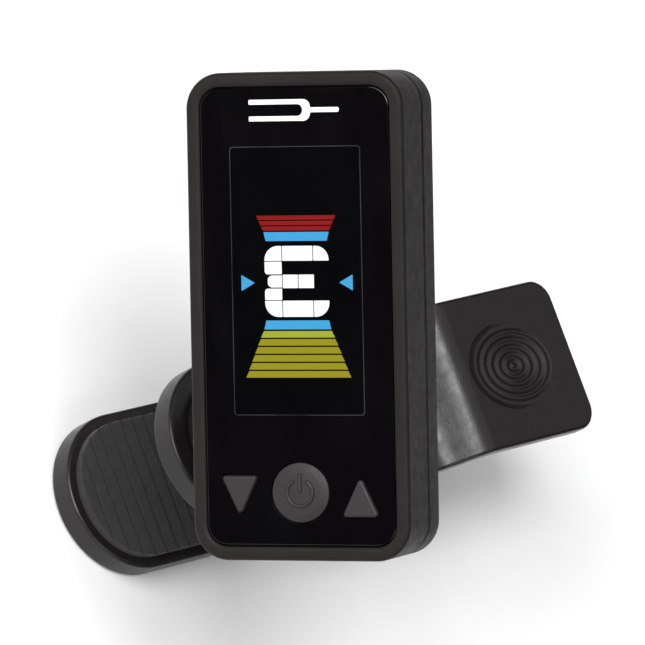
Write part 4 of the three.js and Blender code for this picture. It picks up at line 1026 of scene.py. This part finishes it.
def swivel_arm():
    """Turntable, waisted post and clevis of the arm that carries the head."""
    plate_low = arm_low.z + 1.05
    plate_radius = (arm_high.x - arm_low.x) / 2
    profile = [(0, plate_low, 0), (plate_radius, plate_low, 0.25), (plate_radius, plate_low + 1.1, 0.3)]
    profile += [(plate_radius - 0.6, plate_low + 1.7, 0.4), (0, plate_low + 2, 0)]
    turntable = lathe(rounded_profile(profile))

    foot, foot_half, foot_corner = plate_low + 0.4, 5.6, 0.65
    waist_low, waist_high = plate_low + 4.6, TILT_HEIGHT - 9
    shoulder, top = TILT_HEIGHT - 1, TILT_HEIGHT + CLEVIS_RADIUS
    corners = [
        (-foot_half, foot, foot_corner),
        (foot_half, foot, foot_corner),
        (POST_WAIST_HALF, waist_low, 6),
        (POST_WAIST_HALF, waist_high, 40),
        (CLEVIS_RADIUS, shoulder, 12),
        (CLEVIS_RADIUS, top, CLEVIS_RADIUS - ARC_GAP),
        (-CLEVIS_RADIUS, top, CLEVIS_RADIUS - ARC_GAP),
        (-CLEVIS_RADIUS, shoulder, 12),
        (-POST_WAIST_HALF, waist_high, 40),
        (-POST_WAIST_HALF, waist_low, 6),
    ]
    post = slab(outline(corners, 16), -CLEVIS_HALF, CLEVIS_HALF, 0.6, 0.6, SIDEWAYS)
    hub = rod(ARM_HUB, arm_low.z, plate_low + 0.5)

    slot_floor = TILT_HEIGHT - LUG_RADIUS - 0.5
    slot_half = LUG_HALF + SLIDE_GAP
    side = CLEVIS_HALF + CUT_PAST
    seat = CLEVIS_HALF - PIVOT_SEAT
    washer_outer, washer_inner, washer_depth = 6.1, 3.1, 0.3
    washer = cut(
        rod(washer_outer, plate_low - CUT_PAST, plate_low + washer_depth),
        rod(washer_inner, plate_low - 2 * CUT_PAST, plate_low + CUT_PAST),
    )
    tools = [
        box(-8, 8, -slot_half, slot_half, slot_floor, TILT_HEIGHT + 8),
        cross_rod(PIVOT_BORE, -side, side, 0, TILT_HEIGHT),
        cross_rod(PIVOT_HEAD + SLIDE_GAP, seat, side, 0, TILT_HEIGHT, 64),
        slab(hexagon(PIVOT_NUT + SLIDE_GAP, 0.1), seat, side, turn=SIDEWAYS),
        rod(SCREW_HOLE, arm_low.z - CUT_PAST, plate_low + 4, sides=32),
        washer,
    ]
    body = soften(cut(join(turntable, post, hub), *tools), 0.14, 50)
    finished("arm_moulding", body, ARM, "arm", CASE, ["swivel_arm"])


def pivot_fasteners():
    """Slotted cap screw through the clevis and its hexagon nut."""
    low, high = extent("pivot_screw", ARM)
    turn = Matrix.Translation((0, 0, TILT_HEIGHT)) @ Matrix.Rotation(math.radians(-90), 4, "X")
    seat = high.y - 1.2
    profile = [(0, low.y, 0), (PIVOT_SHANK, low.y, 0.25), (PIVOT_SHANK, seat, 0), (PIVOT_HEAD, seat, 0.1)]
    profile += [(PIVOT_HEAD, high.y - 0.15, 0.25), (PIVOT_HEAD - 0.9, high.y, 0.2), (0, high.y, 0)]
    screw = lathe(rounded_profile(profile), turn=turn)
    slot_depth, slot_half = 0.5, 0.27
    slot = box(
        -3, 3, high.y - slot_depth, high.y + CUT_PAST, TILT_HEIGHT - slot_half, TILT_HEIGHT + slot_half
    )
    screw = soften(cut(screw, slot), 0.05, 50)
    finished("clevis_screw", screw, ARM, "arm", STEEL, ["pivot_screw"])

    low, high = extent("pivot_nut", ARM)
    nut = slab(hexagon((high.z - low.z) / 2, 0.3), -high.y, -low.y, 0.05, 0.2, SIDEWAYS)
    nut = soften(cut(nut, cross_rod(PIVOT_BORE, -8, 8, 0, TILT_HEIGHT)), FINE_ROUND, 50)
    finished("clevis_nut", nut, ARM, "arm", STEEL, ["pivot_nut"])


# ---- clip ----

upper_low, upper_high = extent("upper_lever", CLIP)
lower_low, lower_high = extent("lower_lever", CLIP)
pad_low, pad_high = extent("upper_pad", CLIP)
lower_pad_low, lower_pad_high = extent("lower_pad", CLIP)
JAW_RADIUS = -upper_low.x
HINGE_X = joints["jaw_hinge"]["pos_m"][0] / MM
HINGE_Z = joints["jaw_hinge"]["pos_m"][2] / MM
JAW_TOP = 4.2
JAW_RIM = 1.0
HANDLE_CORNER = 2.8
PAD_THICK = pad_high.z
PAD_CORNER = 0.8
PIN_RADIUS = 1.2
PIN_BORE = PIN_RADIUS + SEAT_GAP
EAR_THICK = 1.6
EAR_REACH = 3.3
PAST_SIDES = 12.0  # beyond both sides of the clip
DISH_X = 45.2
DISH_RADIUS = 5.3
DISH_STRETCH = 1.36
HEADSTOCK = -lower_pad_high.z


def bezier(points):
    """Points of a Bezier curve of any degree."""
    out = []
    count = 24
    degree = len(points) - 1
    for i in range(count + 1):
        t = i / count
        weights = [math.comb(degree, k) * t**k * (1 - t) ** (degree - k) for k in range(degree + 1)]
        out.append(tuple(sum(w * p[axis] for w, p in zip(weights, points)) for axis in (0, 1)))
    return out


def height_along(points):
    """Height as a function of x, along a line of (x, z) points, and level before the first one."""
    xs, zs = zip(*points)
    return lambda x: float(np.interp(x, xs, zs))


def plate(half, top, bottom, edge):
    """Plate symmetrical about y = 0, from the y >= 0 half of its plan outline, jaw end first, whose faces
    follow the heights top(x) and bottom(x), with rounded edges."""
    ring = [(x, -y, nx, -ny) for x, y, nx, ny in half] + [*reversed(half[1:])]
    steps = 4
    bm = bmesh.new()
    rings = []
    for i in range(steps + 1):
        angle = math.pi / 2 * i / steps
        inset, lift = edge * (1 - math.sin(angle)), edge * (1 - math.cos(angle))
        rings.append([(x - nx * inset, y - ny * inset, bottom, lift) for x, y, nx, ny in ring])
    for i in range(steps + 1):
        angle = math.pi / 2 * i / steps
        inset, drop = edge * (1 - math.cos(angle)), edge * (1 - math.sin(angle))
        rings.append([(x - nx * inset, y - ny * inset, top, -drop) for x, y, nx, ny in ring])
    rings = [[bm.verts.new((x, y, face(x) + offset)) for x, y, face, offset in row] for row in rings]
    bridge(bm, rings)
    count = len(ring)
    for row, flip in ((rings[0], True), (rings[-1], False)):
        for i in range(len(half) - 1):
            corners = [row[i], row[i + 1], row[count - i - 1], row[(count - i) % count]]
            corners = list(dict.fromkeys(corners))
            bm.faces.new(corners[::-1] if flip else corners)
    return bm


def straight(x0, x1, y, pitch):
    """Outline points along a straight side, without its two ends."""
    count = max(1, round((x1 - x0) / pitch))
    return [(x0 + (x1 - x0) * i / count, y, 0.0, 1.0) for i in range(1, count)]


def ears(corners, inner):
    """Pair of hinge ears whose inner faces lie at the given distance from the clip's middle."""
    points = outline(corners, 16)
    outer = inner + EAR_THICK
    faces = ((inner, outer), (-outer, -inner))
    return merged([slab(points, low, high, PART_ROUND, PART_ROUND, SIDEWAYS) for low, high in faces])


def ridged_dish():
    """Cutting tool for a thumb dish: a shallow bowl with concentric ridges round a small nub."""
    depth, pitch, ridge = 0.48, 0.95, 0.075
    rings = 72
    profile = [(0.0, -depth + 2 * ridge)]
    for i in range(1, rings + 1):
        radius = DISH_RADIUS * i / rings
        bowl = -depth * (1 - (radius / DISH_RADIUS) ** 2)
        fade = min(1.0, (DISH_RADIUS - radius) / pitch)
        profile.append((radius, bowl + ridge * fade * math.cos(2 * math.pi * radius / pitch)))
    mouth, above = DISH_RADIUS + 0.6, 3.0
    profile += [(DISH_RADIUS + 0.3, 0.06), (mouth, 0.3), (mouth, above), (0.0, above)]
    return lathe(profile, sides=128, turn=Matrix.Scale(DISH_STRETCH, 4, (1, 0, 0)))


def pad_outline(grow=0.0):
    radius = (pad_high.y - pad_low.y) / 2 + grow
    x, y = pad_high.x + grow - PAD_CORNER, radius - PAD_CORNER
    return (
        arc(0, 0, radius, 90, 270, 48)
        + arc(x, -y, PAD_CORNER, -90, 0, 6)
        + arc(x, y, PAD_CORNER, 0, 90, 6)
    )


def upper_lever():
    """Upper jaw and thumb handle in one bar, with hinge ears and the ridged thumb dish."""
    end = upper_high.x
    bend_top = bezier([(29.5, JAW_TOP), (32.5, JAW_TOP), (33.8, 8.5), (36.8, 8.6)])
    bend_under = bezier([(30, JAW_RIM), (33, JAW_RIM), (34.3, 6.3), (37.8, 6.3)])
    top = [*bend_top, (end + 1, 9.02)]
    under = [*bend_under, (end + 1, 6.7)]
    bend_start, bend_end = 28, 39
    half = arc(0, 0, JAW_RADIUS, 180, 90, 40)
    half += straight(0, bend_start, JAW_RADIUS, 2) + [(bend_start, JAW_RADIUS, 0, 1)]
    half += straight(bend_start, bend_end, JAW_RADIUS, 0.3) + [(bend_end, JAW_RADIUS, 0, 1)]
    half += straight(bend_end, end - HANDLE_CORNER, JAW_RADIUS, 2)
    half += arc(end - HANDLE_CORNER, JAW_RADIUS - HANDLE_CORNER, HANDLE_CORNER, 90, 0, 14)
    bar = plate(half, height_along(top), height_along(under), 0.45)

    root = JAW_RIM + 1
    foot = HINGE_Z - EAR_REACH
    corners = [
        (19.5, root, 2 * PART_ROUND),
        (HINGE_X - EAR_REACH, HINGE_Z, 8.0),
        (HINGE_X - EAR_REACH + 0.3, foot, 2.6),
        (HINGE_X + EAR_REACH - 0.3, foot, 2.6),
        (HINGE_X + EAR_REACH, HINGE_Z, 8.0),
        (31.5, root, 2 * PART_ROUND),
    ]
    dish = ridged_dish()
    dish.transform(Matrix.Translation((DISH_X, 0, 8.76)) @ Matrix.Rotation(math.radians(-3.2), 4, "Y"))
    below = JAW_RIM - CUT_PAST
    tools = [
        slab(pad_outline(SEAT_GAP), below, PAD_THICK + SEAT_GAP),
        rod(3.6, below, JAW_TOP - 0.9),
        rod(ARM_HUB + SEAT_GAP, 0, JAW_TOP + CUT_PAST),
        slab(rounded_rect(17, 15, 1, 20.5, 0), below, JAW_RIM + 1.4),
        cross_rod(PIN_BORE, -PAST_SIDES, PAST_SIDES, HINGE_X, HINGE_Z),
        dish,
    ]
    body = soften(cut(join(bar, ears(corners, 7.6)), *tools), angle=50)
    finished("upper_jaw_and_handle", body, CLIP, "clip", CLIP_PLASTIC, ["upper_lever"])


def lower_lever():
    """Lower jaw and finger handle, narrow behind the jaw so that its ears nest between the upper ones."""
    end = lower_high.x
    outer, rim = lower_low.z, -HEADSTOCK - JAW_RIM
    handle_top, handle_thick = -1.2, 2.1
    slope = math.atan2(handle_top - (rim - 0.1), end - 16.5)
    bend_under = bezier([(11, outer), (14, outer), (17, outer + 1.1)])
    bend_over = bezier([(12.5, rim), (16.7, rim), (20, rim - 0.1 + 3.5 * math.tan(slope))])
    under = [*bend_under, (end, handle_top - handle_thick)]
    over = [*bend_over, (end, handle_top)]

    narrow = 7.15
    jaw_end = 12.5
    corner = 1.75
    fillet = JAW_RADIUS - corner - narrow
    half = arc(0, 0, JAW_RADIUS, 180, 90, 40)
    half += straight(0, jaw_end - corner, JAW_RADIUS, 2)
    half += arc(jaw_end - corner, JAW_RADIUS - corner, corner, 90, 0, 8)
    hollow = arc(jaw_end + fillet, narrow + fillet, fillet, 180, 270, 6)[1:]
    half += [(x, y, -nx, -ny) for x, y, nx, ny in hollow]
    half += straight(jaw_end + fillet, end - HANDLE_CORNER, narrow, 0.6)
    half += arc(end - HANDLE_CORNER, narrow - HANDLE_CORNER, HANDLE_CORNER, 90, 0, 14)
    bar = plate(half, height_along(over), height_along(under), 0.4)

    def root(x):
        """Ear root inside the handle, as a corner."""
        return (x, handle_top - 0.8 - (end - x) * math.tan(slope), 2 * PART_ROUND)

    head = HINGE_Z + EAR_REACH
    corners = [
        root(32),
        (HINGE_X + EAR_REACH, HINGE_Z + 0.5, 2.0),
        (HINGE_X + EAR_REACH - 0.6, head, 2.4),
        (HINGE_X - EAR_REACH + 0.3, head, 2.6),
        (HINGE_X - EAR_REACH, HINGE_Z, 6.0),
        root(19.5),
    ]
    dish = ridged_dish()
    place = Matrix.Translation((DISH_X, 0, handle_top - handle_thick - (end - DISH_X) * math.tan(slope)))
    dish.transform(place @ Matrix.Rotation(-slope, 4, "Y") @ Matrix.Rotation(math.pi, 4, "X"))
    tools = [
        slab(pad_outline(SEAT_GAP), -HEADSTOCK - PAD_THICK - SEAT_GAP, rim + CUT_PAST),
        cross_rod(PIN_BORE, -PAST_SIDES, PAST_SIDES, HINGE_X, HINGE_Z),
        dish,
    ]
    body = soften(cut(join(bar, ears(corners, 5.75)), *tools), angle=50)
    finished("lower_jaw_and_handle", body, CLIP, "lower_jaw", CLIP_PLASTIC, ["lower_lever"])


def grip_pad(name, node, body, contact, back):
    """Rubber pad with cross grooves on its contact face."""
    sense = 1 if back > contact else -1
    pad = slab(pad_outline(), min(contact, back), max(contact, back), PART_ROUND, PART_ROUND)
    first, pitch, radius = -6.4, 1.9, 0.32
    level = contact - sense * 0.02
    rows = [circle(radius, first + i * pitch, level, 16) for i in range(9)]
    grooves = [slab(row, -PAST_SIDES, PAST_SIDES, turn=SIDEWAYS) for row in rows]
    pad = soften(cut(pad, merged(grooves)), FINE_ROUND, 50)
    finished(name, pad, CLIP, body, PAD, [node])


def hinge_pin():
    """Riveted pin through the four ears."""
    low, high = extent("hinge_pin", CLIP)
    turn = Matrix.Translation((HINGE_X, 0, HINGE_Z)) @ Matrix.Rotation(math.radians(-90), 4, "X")
    radius, head = (high.x - low.x) / 2, 0.3
    dome, side = radius * 0.6, head * 0.6
    profile = [(0, low.y, 0), (dome, low.y, 0.3), (radius, low.y + side, 0.1), (radius, low.y + head, 0)]
    profile += [(PIN_RADIUS, low.y + head, 0), (PIN_RADIUS, high.y - head, 0), (radius, high.y - head, 0)]
    profile += [(radius, high.y - side, 0.1), (dome, high.y, 0.3), (0, high.y, 0)]
    pin = lathe(rounded_profile(profile), turn=turn)
    finished("hinge_rivet", pin, CLIP, "clip", STEEL, ["hinge_pin"])


def torsion_spring():
    """Closing spring: an arm under the upper handle, a coil round the pin, an arm on the lower handle."""
    radius, half, reach, wire = 2.7, 3.6, 20.0, 0.5
    coils = 7
    arm_steps, coil_steps = 20, 340
    start = math.radians(30.5) + math.pi / 2
    end = math.radians(18) - math.pi / 2 + 2 * math.pi * coils

    def on_coil(angle):
        along = (angle - start) / (end - start)
        x, z = HINGE_X + radius * math.cos(angle), HINGE_Z + radius * math.sin(angle)
        return Vector((x, half - 2 * half * along, z))

    def outward(angle, sense):
        return sense * Vector((-math.sin(angle), 0, math.cos(angle)))

    path = [on_coil(start) + outward(start, -1) * reach * (1 - i / arm_steps) for i in range(arm_steps)]
    path += [on_coil(start + (end - start) * i / coil_steps) for i in range(coil_steps + 1)]
    path += [on_coil(end) + outward(end, 1) * reach * i / arm_steps for i in range(1, arm_steps + 1)]
    spring = finished("closing_spring", tube(path, wire, 14), CLIP, None, SPRING_STEEL, sharp=60)
    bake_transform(spring)
    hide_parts("torsion_spring")


# ---- inner pieces keep their CAD shape ----

INNER_LOOKS = [
    (GLASS, "panel_glass", ["lcd_panel"]),
    (DIFFUSER, "diffuser", ["backlight"]),
    (HOLDER, "holder_white", ["display_holder"]),
    (BOARD, "board_green", ["main_board"]),
    (CHIP, "chip_black", ["controller_chip"]),
    (RIBBON, "ribbon_amber", ["lcd_ribbon"]),
    (STEEL, "steel", ["crystal", "switch_power", "switch_flat", "switch_sharp"]),
    (STEEL, "steel", ["contact_negative", "contact_positive", "swivel_washer", "swivel_screw"]),
    (STEEL, "steel", ["turntable_washer", "turntable_screw"]),
    (BRASS, "brass", ["piezo_plate"]),
    (CERAMIC, "ceramic", ["piezo_ceramic"]),
    (LEAD, "lead_red", ["piezo_lead_ceramic", "piezo_lead_plate"]),
    (DARK_STEEL, "dark_steel", ["friction_washer"]),
]


def dress_inner_pieces():
    for look, slot, names in INNER_LOOKS:
        for name in names:
            node = frame["nodes"][name]
            node.data.materials.clear()
            node.data.materials.append(look)


# ---- studio ----

VIEW_RIGHT = Vector((0.6965, -0.3409, 0.6314))
VIEW_UP = Vector((0.1687, 0.9331, 0.3177))
VIEW_DISTANCE = 0.725
FRAME_FILL = 0.84
LIT_POINT = Vector((0.015, 0, 0.02))


def camera():
    """Camera on the photograph's line of sight, turned and zoomed to frame the object."""
    right = VIEW_RIGHT.normalized()
    up = (VIEW_UP - right * VIEW_UP.dot(right)).normalized()
    back = right.cross(up)
    place = back * VIEW_DISTANCE
    points = np.array([v.co for node in frame["nodes"].values() for v in node.data.vertices])

    def seen(axes):
        local = (points - np.array(place)) @ np.array(axes).T
        return local[:, 0] / -local[:, 2], local[:, 1] / -local[:, 2]

    for _ in range(3):
        x, y = seen([right, up, back])
        aim = -back + right * float(x.max() + x.min()) / 2 + up * float(y.max() + y.min()) / 2
        back = -aim.normalized()
        right = up.cross(back).normalized()
        up = back.cross(right)
    x, y = seen([right, up, back])
    data = bpy.data.cameras.new("camera")
    data.sensor_width = 36
    data.lens = data.sensor_width / 2 * FRAME_FILL / float(max(x.max(), y.max()))
    data.clip_start = 0.01
    data.clip_end = 20
    obj = add_object("camera", data)
    turn = Matrix((right, up, back)).transposed().to_4x4()
    obj.matrix_world = Matrix.Translation(place) @ turn
    bpy.context.scene.camera = obj


def softbox(name, direction, distance, size, power):
    """Square area light that faces the object."""
    data = bpy.data.lights.new(name, "AREA")
    data.shape = "SQUARE"
    data.size = size
    data.energy = power
    obj = add_object(name, data)
    towards = Vector(direction).normalized()
    obj.location = LIT_POINT + towards * distance
    obj.rotation_euler = towards.to_track_quat("Z", "Y").to_euler()


def studio():
    """Pale floor under the lower jaw, four softboxes, a pale backdrop and a dim surround."""
    scene = bpy.context.scene
    scene.view_settings.view_transform = "Standard"
    clearance = 0.0002
    bm = bmesh.new()
    bmesh.ops.create_grid(bm, x_segments=8, y_segments=8, size=3)
    floor = add_object("floor", mesh_from("floor", bm))
    floor.location = (0, 0, CAD_BOX[0][2] - clearance)
    material, tree, surface = shader("floor_paper", Roughness=0.9, Specular_IOR_Level=0.1)
    tone = shades(tree, noise(tree, 0.02, 3), (0.86, 0.86, 0.86, 1), (0.9, 0.9, 0.9, 1))
    tree.links.new(tone, surface.inputs["Base Color"])
    floor.data.materials.append(material)

    softbox("key_light", (-0.75, 0.3, 0.62), 1.4, 1.0, 20)
    softbox("bend_light", (-0.42, 0.12, 0.9), 1.4, 0.4, 9)
    softbox("fill_light", (-0.5, -0.8, 0.6), 1.6, 1.0, 7)
    softbox("top_light", (0.1, 0.1, 1), 1.7, 2.2, 14)

    world = bpy.data.worlds.new("surround")
    scene.world = world
    world.use_nodes = True
    nodes = world.node_tree.nodes
    background = nodes["Background"]
    path = nodes.new("ShaderNodeLightPath")
    backdrop = nodes.new("ShaderNodeBackground")
    backdrop.inputs["Color"].default_value = (0.93, 0.93, 0.93, 1)
    backdrop.inputs["Strength"].default_value = 1.0
    background.inputs["Color"].default_value = (0.9, 0.95, 1.0, 1)
    background.inputs["Strength"].default_value = 0.05
    mix = nodes.new("ShaderNodeMixShader")
    links = world.node_tree.links
    links.new(path.outputs["Is Camera Ray"], mix.inputs["Fac"])
    links.new(background.outputs["Background"], mix.inputs[1])
    links.new(backdrop.outputs["Background"], mix.inputs[2])
    links.new(mix.outputs["Shader"], nodes["World Output"].inputs["Surface"])


camera()
studio()
front_bezel()
window()
display_panel()
note_letter()
pitch_marks()
fork_mark()
power_key()
arrow_key("flat_key_cap", "key_flat", "flat_key", -ARROW_X, -1)
arrow_key("sharp_key_cap", "key_sharp", "sharp_key", ARROW_X, 1)
rear_shell()
battery_door()
for number in range(1, 5):
    shell_screw(number)
coin_cell()
head_knuckle()
swivel_arm()
pivot_fasteners()
upper_lever()
lower_lever()
grip_pad("upper_grip_pad", "upper_pad", "clip", pad_low.z, pad_high.z)
grip_pad("lower_grip_pad", "lower_pad", "lower_jaw", lower_pad_high.z, lower_pad_low.z)
hinge_pin()
torsion_spring()
dress_inner_pieces()
